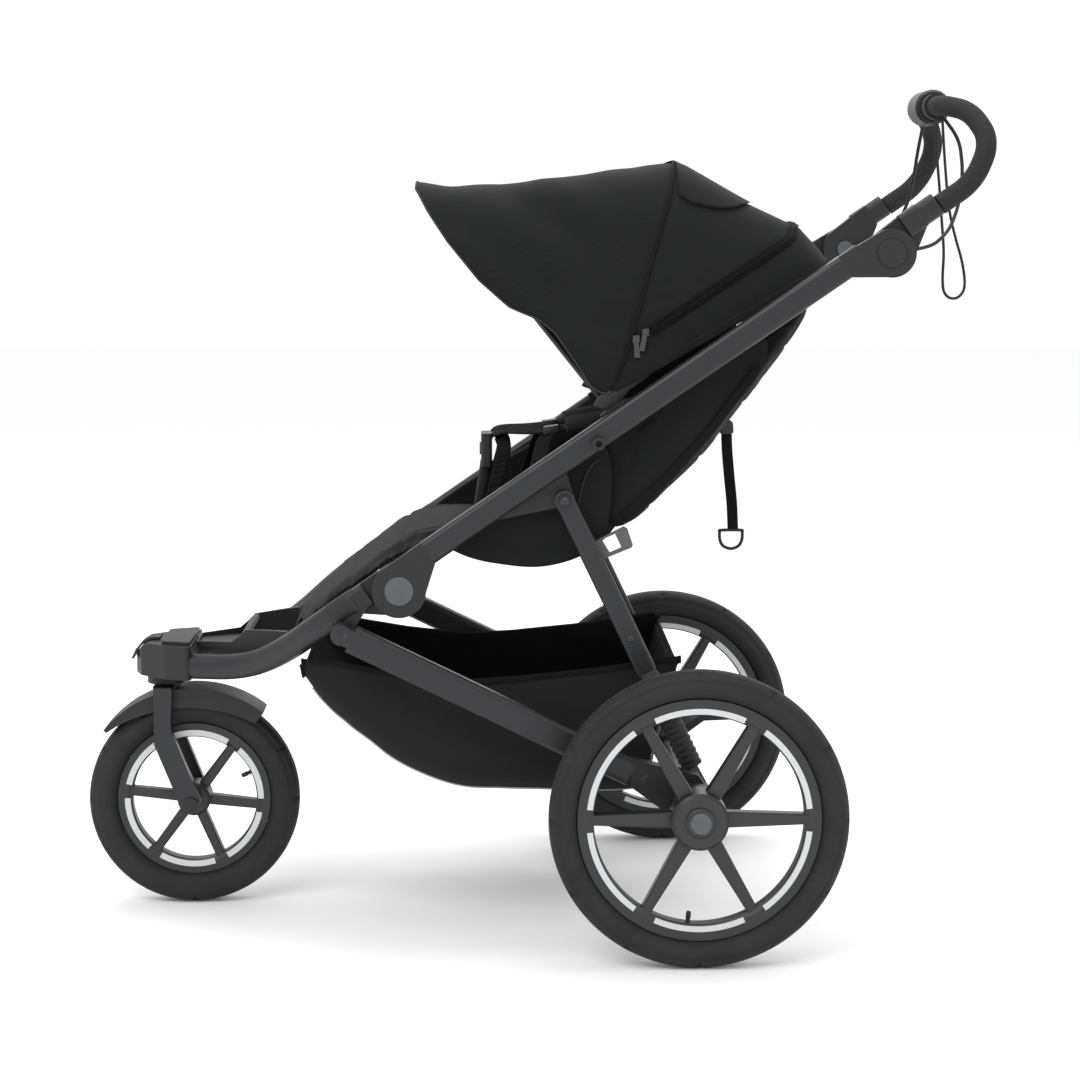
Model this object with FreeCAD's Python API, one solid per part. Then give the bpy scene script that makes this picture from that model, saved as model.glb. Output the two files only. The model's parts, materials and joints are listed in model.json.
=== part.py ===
"""Three-wheeled all-terrain baby stroller, modelled as separate pieces, in millimetres.

The stroller faces -X, +Z is up and +Y is the child's right.  Its left and right sides mirror each other
in the plane Y = 0.  Stations along the length are measured while modelling from the plumb line of the
seat, and every finished piece is moved by the same step so that the origin lies on the ground, under the
middle of the overall length.
"""
import FreeCAD, Part
import math
import os

Vector = FreeCAD.Vector
Y_AXIS = Vector(0, 1, 0)
SIDES = {"left": -1, "right": 1}

# ---------------------------------------------------------------- driving dimensions
REAR_WHEEL_RADIUS = 200.0
FRONT_WHEEL_RADIUS = 152.5
REAR_TRACK = 640.0
REAR_AXLE_X = 299.3
FRONT_AXLE_X = -406.5
SWIVEL_X = -446.0
SPOKES = 6

FOLD_HUB = (-100.8, 488.8)
HANDLE_HUB = (566.7, 946.5)
FRAME_HALF = 205.0
TUBE_WIDE = 24.0
TUBE_TALL = 34.0
TUBE_WALL = 2.2
TUBE_ABOVE_HUB = 20.0
FOLD_HUB_RADIUS = 37.0
HANDLE_HUB_RADIUS = 33.0
HUB_ARM = 62.0
HUB_HALF_THICK = 11.5
PIN_RADIUS = 8.0
RUNNING_GAP = 0.06

LEG_PIVOT = (-178.0, 434.0)
LEG_HALF = 236.0
LEG_TALL = 38.0
LEG_WIDE = 24.0
AXLE_RADIUS = 6.0

STRUT_TOP = (124.5, 611.0)
STRUT_FOOT = (307.0, 229.0)
STRUT_WIDE = 28.0
STRUT_THICK = 16.0
SHOCK_RADIUS = 17.0

CROSSBAR = (285.0, 214.0)
CROSSBAR_RADIUS = 12.0

BAR_RADIUS = 14.0
BAR_ROUTE = [(632.0, 205.0, 1011.5), (678.0, 205.0, 1043.0), (703.0, 192.0, 1098.0),
             (684.0, 150.0, 1140.0), (655.0, 104.0, 1151.0)]
BAR_MIDDLE = (655.0, 1151.0)

CANOPY_PIVOT = (190.0, 728.0)
CANOPY_HALF = 189.5
CLOTH = 4.0

RECLINE_HINGE = (180.0, 566.0)

OVERALL_BACK = 711.88
OVERALL_FRONT = FRONT_AXLE_X - FRONT_WHEEL_RADIUS
TO_ORIGIN = Vector(-(OVERALL_FRONT + OVERALL_BACK) / 2, 0, 0)

# ---------------------------------------------------------------- directions along the main tube
MAIN_ANGLE = math.atan2(HANDLE_HUB[1] - FOLD_HUB[1], HANDLE_HUB[0] - FOLD_HUB[0])
HUB_SPACING = math.dist(FOLD_HUB, HANDLE_HUB)


def along_main(origin, along, above):
    """A point (x, z) measured from origin, along the main tube and at right angles above it."""
    cosine, sine = math.cos(MAIN_ANGLE), math.sin(MAIN_ANGLE)
    return (origin[0] + along * cosine - above * sine, origin[1] + along * sine + above * cosine)


# ---------------------------------------------------------------- shape helpers
def prism(outline, y_low, y_high):
    """The outline of (x, z) points, filled and extruded from y_low to y_high."""
    points = [Vector(x, y_low, z) for x, z in outline]
    face = Part.Face(Part.makePolygon(points + points[:1]))
    return face.extrude(Vector(0, y_high - y_low, 0))


def rod(centre, radius, y_low, y_high):
    """A cylinder along Y about the (x, z) centre."""
    return Part.makeCylinder(radius, y_high - y_low, Vector(centre[0], y_low, centre[1]), Y_AXIS)


def span(side, inner, outer):
    """The Y range between two distances from the middle plane, on one side."""
    return (min(side * inner, side * outer), max(side * inner, side * outer))


def fused(pieces):
    """One solid from overlapping pieces."""
    whole = pieces[0].fuse(pieces[1:]) if len(pieces) > 1 else pieces[0]
    whole = whole.removeSplitter()
    return whole.Solids[0] if len(whole.Solids) == 1 else whole


def rounded_bar(start, end, tall, y_low, y_high, corner=7.0, wall=0.0):
    """A straight bar of rounded rectangular section between two (x, z) points."""
    length = math.dist(start, end)
    wide = y_high - y_low
    bar = Part.makeBox(length, wide, tall, Vector(0, -wide / 2, -tall / 2))
    long_edges = [edge for edge in bar.Edges if abs(edge.tangentAt(edge.FirstParameter).x) > 0.99]
    bar = bar.makeFillet(min(corner, wide / 2 - 0.5), long_edges)
    if wall:
        hollow = Part.makeBox(length, wide - 2 * wall, tall - 2 * wall,
                              Vector(0, wall - wide / 2, wall - tall / 2))
        inner_edges = [edge for edge in hollow.Edges if abs(edge.tangentAt(edge.FirstParameter).x) > 0.99]
        bar = bar.cut(hollow.makeFillet(max(corner - wall, 1.0), inner_edges))
    angle = math.degrees(math.atan2(end[1] - start[1], end[0] - start[0]))
    bar.rotate(Vector(0, 0, 0), Y_AXIS, -angle)
    bar.translate(Vector(start[0], (y_low + y_high) / 2, start[1]))
    return bar


def box(x_low, x_high, y_low, y_high, z_low, z_high, corner=0.0):
    """A box, with its upright edges rounded where a corner radius is given."""
    solid = Part.makeBox(x_high - x_low, y_high - y_low, z_high - z_low, Vector(x_low, y_low, z_low))
    if corner:
        upright = [edge for edge in solid.Edges if abs(edge.tangentAt(edge.FirstParameter).z) > 0.99]
        solid = solid.makeFillet(corner, upright)
    return solid


def eye(centre, radius, y_low, y_high, bore):
    """A flat ring about Y."""
    return rod(centre, radius, y_low, y_high).cut(rod(centre, bore, y_low, y_high))


def route_wire(points, label="", largest=None):
    """Straight runs joined by tangent arcs, each as large as its two runs allow."""
    corners = [Vector(*point) for point in points]
    edges = []
    start = corners[0]
    radii = []
    for before, corner, after in zip(corners, corners[1:], corners[2:]):
        into = (corner - before).normalize()
        out = (after - corner).normalize()
        turn = math.acos(max(-1.0, min(1.0, into.dot(out))))
        shorter = min((corner - before).Length, (after - corner).Length)
        radius = 0.45 * shorter / math.tan(turn / 2)
        if largest:
            radius = min(radius, largest)
        reach = radius * math.tan(turn / 2)
        first = corner - into * reach
        last = corner + out * reach
        inward = (out - into).normalize()
        middle = corner + inward * (radius / math.cos(turn / 2) - radius)
        edges.append(Part.LineSegment(start, first).toShape())
        edges.append(Part.Arc(first, middle, last).toShape())
        radii.append(round(radius, 1))
        start = last
    edges.append(Part.LineSegment(start, corners[-1]).toShape())
    if label:
        print(label, "radii", radii, "length", round(sum(edge.Length for edge in edges), 1))
    return Part.Wire(edges)


def tube_along(wire, radius, label=""):
    """A round solid swept along a wire, with its volume compared with section times length."""
    first = wire.Edges[0]
    start = first.valueAt(first.FirstParameter)
    circle = Part.Wire(Part.makeCircle(radius, start, first.tangentAt(first.FirstParameter)))
    solid = wire.makePipeShell([circle], True, False)
    if label:
        ideal = math.pi * radius ** 2 * wire.Length
        print(label, "volume over section times length", round(solid.Volume / ideal, 4))
    return solid


def ring_of(shape, count, offset=0.0):
    """Copies of a shape turned about Y through the origin."""
    copies = []
    for index in range(count):
        copy = shape.copy()
        copy.rotate(Vector(0, 0, 0), Y_AXIS, offset + index * 360.0 / count)
        copies.append(copy)
    return copies


def turned(profile):
    """A solid turned about Y from (radius, y) points; a three-point tuple in the list is an arc."""
    edges = []
    here = None
    for step in profile + [profile[0]]:
        goal = step[-1] if isinstance(step[0], tuple) else step
        target = Vector(goal[0], goal[1], 0)
        if here is not None:
            if isinstance(step[0], tuple):
                middle = Vector(step[0][0], step[0][1], 0)
                edges.append(Part.Arc(here, middle, target).toShape())
            else:
                edges.append(Part.LineSegment(here, target).toShape())
        here = target
    face = Part.Face(Part.Wire(edges))
    return face.revolve(Vector(0, 0, 0), Y_AXIS, 360)


# ---------------------------------------------------------------- wheels
HUB_BORE = 11.0
BEARING_WIDE = 7.0
BUTTON_RADIUS = 14.5
BUTTON_TRAVEL = 3.0
REAR_HUB_HALF = 24.0
REAR_RIM_HALF = 11.5
FRONT_RIM_HALF = 11.0
FRONT_SPOKE_TURN = 6.5
FRONT_HUB_HALF = 20.0


def tyre(radius, width, bead):
    """A round tyre whose flat inner face seats on the rim at the bead radius."""
    half_bead = 0.75 * width / 2
    return turned([(bead, -half_bead), ((radius, 0.0), (bead, half_bead))])


def spoke(inner, outer, root, tip, thick):
    """One tapered spoke along +X."""
    outline = [(inner, -root / 2), (outer, -tip / 2), (outer, tip / 2), (inner, root / 2)]
    solid = prism(outline, -thick / 2, thick / 2)
    long_edges = [edge for edge in solid.Edges if edge.Length > 0.9 * (outer - inner)]
    return solid.makeFillet(3.0, long_edges)


def rim(bead, inner, half_wide, hub_radius, hub_half, spoke_sizes, turn):
    """A six-spoked rim with its hub bored right through for the two bearings."""
    hoop = turned([(bead, -half_wide), (bead, half_wide), (inner + 6, half_wide), (inner, half_wide - 4),
                   (inner, 4 - half_wide), (inner + 6, -half_wide)])
    hub = turned([(1.0, -hub_half), (hub_radius - 4, -hub_half), (hub_radius, 4 - hub_half),
                  (hub_radius, hub_half - 4), (hub_radius - 4, hub_half), (1.0, hub_half)])
    root, tip, thick = spoke_sizes
    spokes = ring_of(spoke(hub_radius - 6, inner + 5, root, tip, thick), SPOKES, turn)
    wheel = fused([hoop, hub] + spokes)
    return wheel.cut(rod((0, 0), HUB_BORE, -hub_half, hub_half))


def reflectors(inner, outer, face, turn):
    """Twelve thin reflecting arcs, six lying on each side face of the rim."""
    sweep = 48.0
    thickness = 0.8
    arcs = []
    for low in (face, -face - thickness):
        band = Part.makeCylinder(outer, thickness, Vector(0, low, 0), Y_AXIS, sweep)
        band = band.cut(Part.makeCylinder(inner, thickness, Vector(0, low, 0), Y_AXIS, 360))
        arcs += ring_of(band, SPOKES, turn)
    return Part.makeCompound(arcs)


def bearings(inner_end, outer_end):
    """The pair of ball bearings inside a hub, out to its two ends."""
    bore = AXLE_RADIUS + RUNNING_GAP
    pair = [eye((0, 0), HUB_BORE, outer_end - BEARING_WIDE, outer_end, bore),
            eye((0, 0), HUB_BORE, inner_end, inner_end + BEARING_WIDE, bore)]
    return Part.makeCompound(pair)


def placed(shape, centre, y):
    """The shape moved so that its own origin lies at the (x, z) centre and at y."""
    moved = shape.copy()
    moved.translate(Vector(centre[0], y, centre[1]))
    return moved


def rear_wheel(name, side):
    """The five pieces of one rear wheel, in place on its axle."""
    centre = (REAR_AXLE_X, REAR_WHEEL_RADIUS)
    y = side * REAR_TRACK / 2
    bead = 162.0
    cap = turned([(1.0, REAR_HUB_HALF - 2), (20.0, REAR_HUB_HALF - 2), (20.0, REAR_HUB_HALF + 3),
                  (18.0, REAR_HUB_HALF + 5), (1.0, REAR_HUB_HALF + 5)])
    body = rim(bead, 140.0, REAR_RIM_HALF, 38.0, REAR_HUB_HALF, (22.0, 14.0, 18.0), 0.0)
    pocket = rod((0, 0), BUTTON_RADIUS + 0.1, REAR_HUB_HALF - 4, REAR_HUB_HALF + 5)
    body = fused([body, cap.cut(rod((0, 0), HUB_BORE, REAR_HUB_HALF - 2, REAR_HUB_HALF))]).cut(pocket)
    button = turned([(0.5, REAR_HUB_HALF), (BUTTON_RADIUS, REAR_HUB_HALF), (BUTTON_RADIUS, REAR_HUB_HALF + 6),
                     (BUTTON_RADIUS - 2, REAR_HUB_HALF + 8), (0.5, REAR_HUB_HALF + 8)])
    button = fused([button, rod((0, 0), 0.6, REAR_HUB_HALF, REAR_HUB_HALF + 8)])
    races = bearings(1 - REAR_HUB_HALF, REAR_HUB_HALF - 5)
    pieces = {"rear_tyre": tyre(REAR_WHEEL_RADIUS, 45.0, bead), "rear_rim": body,
              "rear_reflectors": reflectors(142.3, 150.0, REAR_RIM_HALF, 36.0), "rear_bearings": races,
              "wheel_release": button}
    for piece, shape in pieces.items():
        if side < 0:
            shape = shape.mirror(Vector(0, 0, 0), Y_AXIS)
        save(f"{piece}_{name}", placed(shape, centre, y))


def front_wheel():
    """The four pieces of the front wheel."""
    centre = (FRONT_AXLE_X, FRONT_WHEEL_RADIUS)
    bead = 110.5
    save("front_tyre", placed(tyre(FRONT_WHEEL_RADIUS, 50.0, bead), centre, 0))
    save("front_rim", placed(rim(bead, 90.0, FRONT_RIM_HALF, 24.0, FRONT_HUB_HALF, (15.0, 13.0, 18.0),
                                 FRONT_SPOKE_TURN), centre, 0))
    save("front_reflectors", placed(reflectors(92.3, 100.7, FRONT_RIM_HALF, 36.0 + FRONT_SPOKE_TURN), centre, 0))
    save("front_bearings", placed(bearings(1 - FRONT_HUB_HALF, FRONT_HUB_HALF - 1), centre, 0))


# ---------------------------------------------------------------- hinge hubs of the frame
def hub_casting(centre, toward, radius, side, own, side_inner, side_outer, bore):
    """One half of a hinge hub: a half-thickness disc and wedge that widen into a full tube socket."""
    low, high = span(side, *own)
    top = TUBE_ABOVE_HUB + TUBE_TALL / 2
    bottom = TUBE_ABOVE_HUB - TUBE_TALL / 2
    block_from = radius + 1.5
    wedge = [along_main(centre, 0, radius), along_main(centre, toward * HUB_ARM, top),
             along_main(centre, toward * HUB_ARM, bottom), along_main(centre, toward * 0.45 * radius,
                                                                      -0.88 * radius)]
    block = rounded_bar(along_main(centre, toward * block_from, TUBE_ABOVE_HUB),
                        along_main(centre, toward * HUB_ARM, TUBE_ABOVE_HUB),
                        TUBE_TALL, *span(side, side_inner, side_outer))
    casting = fused([rod(centre, radius, low, high), prism(wedge, low, high), block])
    return casting.cut(rod(centre, bore, low, high))


TUBE_INNER = FRAME_HALF - TUBE_WIDE / 2
TUBE_OUTER = FRAME_HALF + TUBE_WIDE / 2
OUTER_HALF = (FRAME_HALF + 0.5, FRAME_HALF + 0.5 + HUB_HALF_THICK)
INNER_HALF = (FRAME_HALF - 0.5 - HUB_HALF_THICK, FRAME_HALF - 0.5)
CAP_RECESS = 1.5


def hinge_hubs():
    """Castings, pins and blank caps of the two hinges on each side."""
    outer_castings, top_castings, front_castings, sleeves, pins, caps = [], [], [], [], [], []
    for side in SIDES.values():
        lower = hub_casting(FOLD_HUB, 1, FOLD_HUB_RADIUS, side, OUTER_HALF, TUBE_INNER, TUBE_OUTER, PIN_RADIUS)
        recess = rod(FOLD_HUB, 20.0, *span(side, OUTER_HALF[1] - CAP_RECESS, OUTER_HALF[1]))
        outer_castings.append(lower.cut(recess))
        caps.append(rod(FOLD_HUB, 19.6, *span(side, OUTER_HALF[1] - CAP_RECESS, OUTER_HALF[1] + 0.8)))
        top = hub_casting(HANDLE_HUB, -1, HANDLE_HUB_RADIUS, side, OUTER_HALF, TUBE_INNER, TUBE_OUTER,
                          PIN_RADIUS)
        top_castings.append(top)
        front = hub_casting(FOLD_HUB, -1, FOLD_HUB_RADIUS, side, INNER_HALF, TUBE_INNER, TUBE_OUTER,
                            PIN_RADIUS + RUNNING_GAP)
        front_castings.append(fused([front, leg_lug(side)]).cut(rod(LEG_PIVOT, 6.0, *span(side, 190, 222))))
        sleeve = hub_casting(HANDLE_HUB, 1, HANDLE_HUB_RADIUS, side, INNER_HALF, TUBE_INNER, TUBE_OUTER,
                             PIN_RADIUS + RUNNING_GAP)
        sleeve = sleeve.cut(rod(HANDLE_HUB, BUTTON_BORE, *span(side, INNER_HALF[0], INNER_HALF[0] + 6.5)))
        collar_start = along_main(HANDLE_HUB, HUB_ARM - 4, TUBE_ABOVE_HUB)
        collar_end = along_main(HANDLE_HUB, HUB_ARM + 26, TUBE_ABOVE_HUB)
        collar = rounded_bar(collar_start, collar_end, TUBE_TALL - 1, *span(side, TUBE_INNER, TUBE_OUTER),
                             corner=11.0)
        sleeves.append(fused([sleeve, collar]))
        pins.append(rod(FOLD_HUB, PIN_RADIUS, *span(side, INNER_HALF[0] - 2, OUTER_HALF[1] - CAP_RECESS)))
        pins.append(rod(HANDLE_HUB, PIN_RADIUS, *span(side, INNER_HALF[0] + 6.6, OUTER_HALF[1])))
    save("upper_frame_castings", Part.makeCompound(outer_castings + top_castings))
    save("hub_caps", Part.makeCompound(caps))
    save("hinge_pins", Part.makeCompound(pins))
    save("front_hub_castings", Part.makeCompound(front_castings))
    save("handlebar_sleeves", Part.makeCompound(sleeves))


def leg_lug(side):
    """The lug below the front tube socket that carries a rear leg."""
    socket_low = along_main(FOLD_HUB, -HUB_ARM, TUBE_ABOVE_HUB - 10)
    socket_high = along_main(FOLD_HUB, -(FOLD_HUB_RADIUS + 2), TUBE_ABOVE_HUB - 10)
    outline = [socket_low, (LEG_PIVOT[0] - 14, LEG_PIVOT[1] + 2), (LEG_PIVOT[0] - 8, LEG_PIVOT[1] - 12),
               (LEG_PIVOT[0] + 8, LEG_PIVOT[1] - 12), socket_high]
    return prism(outline, *span(side, FRAME_HALF + 2, TUBE_OUTER))


BUTTON_BORE = 12.1


def adjust_buttons():
    """The round buttons on the inner faces of the handlebar hubs."""
    for name, side in SIDES.items():
        head = rod(HANDLE_HUB, 12.0, *span(side, INNER_HALF[0] - 4, INNER_HALF[0] + 2))
        save(f"adjust_button_{name}", head)


# ---------------------------------------------------------------- upper frame
def upper_frame():
    """Main side tubes, cross tube, strut brackets, sockets for accessories and canopy mounts."""
    start = along_main(FOLD_HUB, HUB_ARM, TUBE_ABOVE_HUB)
    end = along_main(HANDLE_HUB, -HUB_ARM, TUBE_ABOVE_HUB)
    tubes = [rounded_bar(start, end, TUBE_TALL, *span(side, TUBE_INNER, TUBE_OUTER), wall=TUBE_WALL)
             for side in SIDES.values()]
    cross_at = along_main(FOLD_HUB, HUB_ARM + 10, TUBE_ABOVE_HUB - 10)
    tubes.append(eye(cross_at, 6.5, -TUBE_INNER, TUBE_INNER, 5.0))
    save("upper_tubes", Part.makeCompound(tubes))
    brackets, sockets, mounts = [], [], []
    under = TUBE_ABOVE_HUB - TUBE_TALL / 2
    reach = math.dist(FOLD_HUB, STRUT_TOP)
    for side in SIDES.values():
        outline = [along_main(FOLD_HUB, reach - 95, under), along_main(FOLD_HUB, reach + 22, under),
                   (STRUT_TOP[0] + 13, STRUT_TOP[1] + 6), (STRUT_TOP[0] + 8, STRUT_TOP[1] - 11),
                   (STRUT_TOP[0] - 8, STRUT_TOP[1] - 11)]
        plate = prism(outline, *span(side, TUBE_INNER + 0.2, TUBE_INNER + 3.8))
        pin = rod(STRUT_TOP, 6.0, *span(side, TUBE_INNER + 2, TUBE_INNER + 22.5))
        washer = rod(STRUT_TOP, 9.0, *span(side, TUBE_INNER + 20.5, TUBE_INNER + 22.5))
        brackets.append(fused([plate, pin, washer]))
        boss_at = along_main(FOLD_HUB, 337.0, TUBE_ABOVE_HUB - 7)
        boss = rod(boss_at, 9.0, *span(side, TUBE_OUTER, TUBE_OUTER + 12))
        sockets.append(boss.cut(rod(boss_at, SOCKET_RADIUS, *span(side, TUBE_OUTER + 2, TUBE_OUTER + 12))))
        along = math.dist(FOLD_HUB, CANOPY_PIVOT) + 4
        mount = [along_main(FOLD_HUB, along - 26, TUBE_ABOVE_HUB - 6),
                 along_main(FOLD_HUB, along + 26, TUBE_ABOVE_HUB - 6),
                 along_main(FOLD_HUB, along + 20, TUBE_ABOVE_HUB + 20),
                 along_main(FOLD_HUB, along - 20, TUBE_ABOVE_HUB + 20)]
        block = prism(mount, *span(side, TUBE_INNER - 12, TUBE_INNER))
        mounts.append(fused([block, rod(CANOPY_PIVOT, 4.0, *span(side, TUBE_INNER - 21, TUBE_INNER - 11))]))
    save("strut_brackets", Part.makeCompound(brackets))
    save("accessory_sockets", Part.makeCompound(sockets))
    save("canopy_mounts", Part.makeCompound(mounts))


SOCKET_RADIUS = 4.5

# ---------------------------------------------------------------- front frame
FRONT_ROUTE = [(-205.0, 192.0, 441.5), (-265.0, 140.0, 391.0), (-325.0, 88.0, 360.0), (-404.0, 56.0, 356.0)]
NOSE_LOW = 338.0
NOSE_HIGH = 386.0
STEM_RADIUS = 11.0
HEADSET_RADIUS = 17.0


def front_tubes():
    """The two side tubes that bend inwards and level out towards the nose."""
    start = along_main(FOLD_HUB, -HUB_ARM, TUBE_ABOVE_HUB)
    tubes = []
    for side in SIDES.values():
        route = [(start[0], side * FRAME_HALF, start[1])]
        route += [(x, side * y, z) for x, y, z in FRONT_ROUTE]
        wire = route_wire(route)
        tubes.append(tube_along(wire, 15.5).cut(tube_along(wire, 13.3)).cut(MODELLED["front_hub_castings"]))
    save("front_tubes", Part.makeCompound(tubes))


def nose():
    """The nose casting with its steering head, its top cover and the bearings of the fork."""
    plan = [(-402, -78), (-402, 78), (-440, 62), (-478, 30), (-489, 0), (-478, -30), (-440, -62)]
    points = [Vector(x, y, NOSE_LOW) for x, y in plan]
    body = Part.Face(Part.makePolygon(points + points[:1])).extrude(Vector(0, 0, NOSE_HIGH - NOSE_LOW))
    upright = [edge for edge in body.Edges if abs(edge.tangentAt(edge.FirstParameter).z) > 0.99]
    body = body.makeFillet(8.0, upright)
    head = Part.makeCylinder(27.0, 15.0, Vector(SWIVEL_X, 0, NOSE_LOW - 15))
    well = Part.makeCylinder(HEADSET_RADIUS, 55.0, Vector(SWIVEL_X, 0, NOSE_LOW - 15))
    casting = fused([body, head]).cut(well)
    for side in SIDES.values():
        wire = route_wire([(x, side * y, z) for x, y, z in FRONT_ROUTE])
        casting = casting.cut(tube_along(wire, 15.6))
    casting = casting.cut(prism(LEVER_UNDER + [(-440, 430), (-520, 430), (-520, LEVER_UNDER[0][1])], -90, 90))
    casting = casting.cut(box(-462, -447, -16.6, 16.6, LEVER_PIVOT[1] - 6, NOSE_HIGH))
    pin = rod(LEVER_PIVOT, 2.5, -20.0, 20.0)
    save("nose_casting", fused([casting, pin]))
    top = [Vector(x * 0.94 - 26.5, y * 0.82, NOSE_HIGH) for x, y in plan]
    cover = Part.Face(Part.makePolygon(top + top[:1])).extrude(Vector(0, 0, 5))
    upright = [edge for edge in cover.Edges if abs(edge.tangentAt(edge.FirstParameter).z) > 0.99]
    cover = cover.makeFillet(5.0, upright)
    save("nose_cover", cover.cut(box(-520, -446, -90, 90, NOSE_HIGH - 1, NOSE_HIGH + 10)))
    rings = [Part.makeCylinder(HEADSET_RADIUS, 9.0, Vector(SWIVEL_X, 0, low)) for low in
             (NOSE_LOW - 14, NOSE_LOW + 24)]
    bore = Part.makeCylinder(STEM_RADIUS + RUNNING_GAP, 80.0, Vector(SWIVEL_X, 0, NOSE_LOW - 20))
    save("headset_bearings", Part.makeCompound([ring.cut(bore) for ring in rings]))


LEVER_PIVOT = (-453.0, 382.0)
LEVER_UNDER = [(-491.0, 358.0), (-486.5, 369.0), (-477.5, 379.5), (-467.0, 385.8), (-461.0, 386.5)]
LEVER_THICK = 3.2


def swivel_lock():
    """The lever curved round the top of the nose that locks the front wheel straight ahead."""
    ring = eye(LEVER_PIVOT, 4.6, -16.0, 16.0, 2.5 + RUNNING_GAP)
    under = [(x - 0.3, z + 0.8) for x, z in LEVER_UNDER]
    over = [(x - 1.6, z + LEVER_THICK + 0.8) for x, z in LEVER_UNDER]
    over[0] = (LEVER_UNDER[0][0] - 3.2, LEVER_UNDER[0][1] + 1.5)
    back = [(LEVER_PIVOT[0], LEVER_PIVOT[1] + 4.5), (LEVER_PIVOT[0], over[-1][1])]
    arm = prism(under + back + over[::-1], -15.0, 15.0)
    save("swivel_lock_lever", fused([ring, arm.cut(rod(LEVER_PIVOT, 4.5, -16.0, 16.0))]))


def footrest():
    """A moulded foot tray between the front tubes: a shallow front and a deeper well for the feet."""
    plan = [(-398, 34), (-300, 82), (-262, 108), (-262, -108), (-300, -82), (-398, -34)]
    floor_z = 379.0
    points = [Vector(x, y, floor_z) for x, y in plan]
    outer = Part.Face(Part.makePolygon(points + points[:1])).extrude(Vector(0, 0, 36))
    inner_points = [Vector(x * 0.99 - 2, y * 0.94, floor_z + 4) for x, y in plan]
    inner_points[2].x = inner_points[3].x = -255
    inner = Part.Face(Part.makePolygon(inner_points + inner_points[:1])).extrude(Vector(0, 0, 40))
    lip = prism([(-334, floor_z), (-331, 402), (-325, 409), (-319, 411), (-316, 406), (-322, 394), (-324, floor_z)],
                -130, 130)
    slope = prism([(-410, floor_z + 8), (-345, floor_z + 12), (-334, 400), (-324, 410), (-300, 412), (-262, 414),
                   (-262, 470), (-410, 470)], -130, 130)
    save("footrest", outer.cut(inner.cut(lip)).cut(slope))


# ---------------------------------------------------------------- fork
def fork():
    """Stem, crown and the two swept legs of the front fork, with mudguard and axle."""
    stem = Part.makeCylinder(STEM_RADIUS, 56.0, Vector(SWIVEL_X, 0, NOSE_LOW - 22))
    crown = box(SWIVEL_X - 15, SWIVEL_X + 15, -48.0, 48.0, NOSE_LOW - 22, NOSE_LOW - 16, corner=10.0)
    axle_at = (FRONT_AXLE_X, FRONT_WHEEL_RADIUS)
    legs = []
    for side in SIDES.values():
        leg = [(SWIVEL_X - 13, NOSE_LOW - 17), (SWIVEL_X + 13, NOSE_LOW - 17), (SWIVEL_X + 11, 262),
               (FRONT_AXLE_X + 12, 160), (FRONT_AXLE_X + 8, 141), (FRONT_AXLE_X - 8, 140),
               (FRONT_AXLE_X - 15, 148), (SWIVEL_X - 13, 240)]
        legs.append(prism(leg, *span(side, 35.0, 47.0)))
    whole = fused([stem, crown] + legs)
    for side in SIDES.values():
        whole = whole.cut(rod(axle_at, AXLE_RADIUS, *span(side, 34.0, 48.0)))
    save("fork", whole)
    axle = fused([rod(axle_at, AXLE_RADIUS, -47.0, 47.0), rod(axle_at, 10.0, 47.0, 51.0),
                  rod(axle_at, 10.0, -51.0, -47.0)])
    save("front_axle", axle)
    guard_radius = FRONT_WHEEL_RADIUS + 10
    disc = Part.makeCylinder(guard_radius + 2.5, 60.0, Vector(0, -30, 0), Y_AXIS)
    band = disc.cut(Part.makeCylinder(guard_radius, 60.0, Vector(0, -30, 0), Y_AXIS))
    wedge = prism([(0, 0), (162, 203), (0, 330), (-201, 165)], -40, 40)
    skirt_centre = (-6.0, -72.0)
    skirts = disc.cut(rod(skirt_centre, 209.0, -40, 40)).cut(Part.makeCylinder(170, 55.0, Vector(0, -27.5, 0), Y_AXIS))
    guard = fused([band.common(wedge), skirts.common(wedge)])
    save("fender", placed(guard, axle_at, 0).cut(whole))


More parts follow.
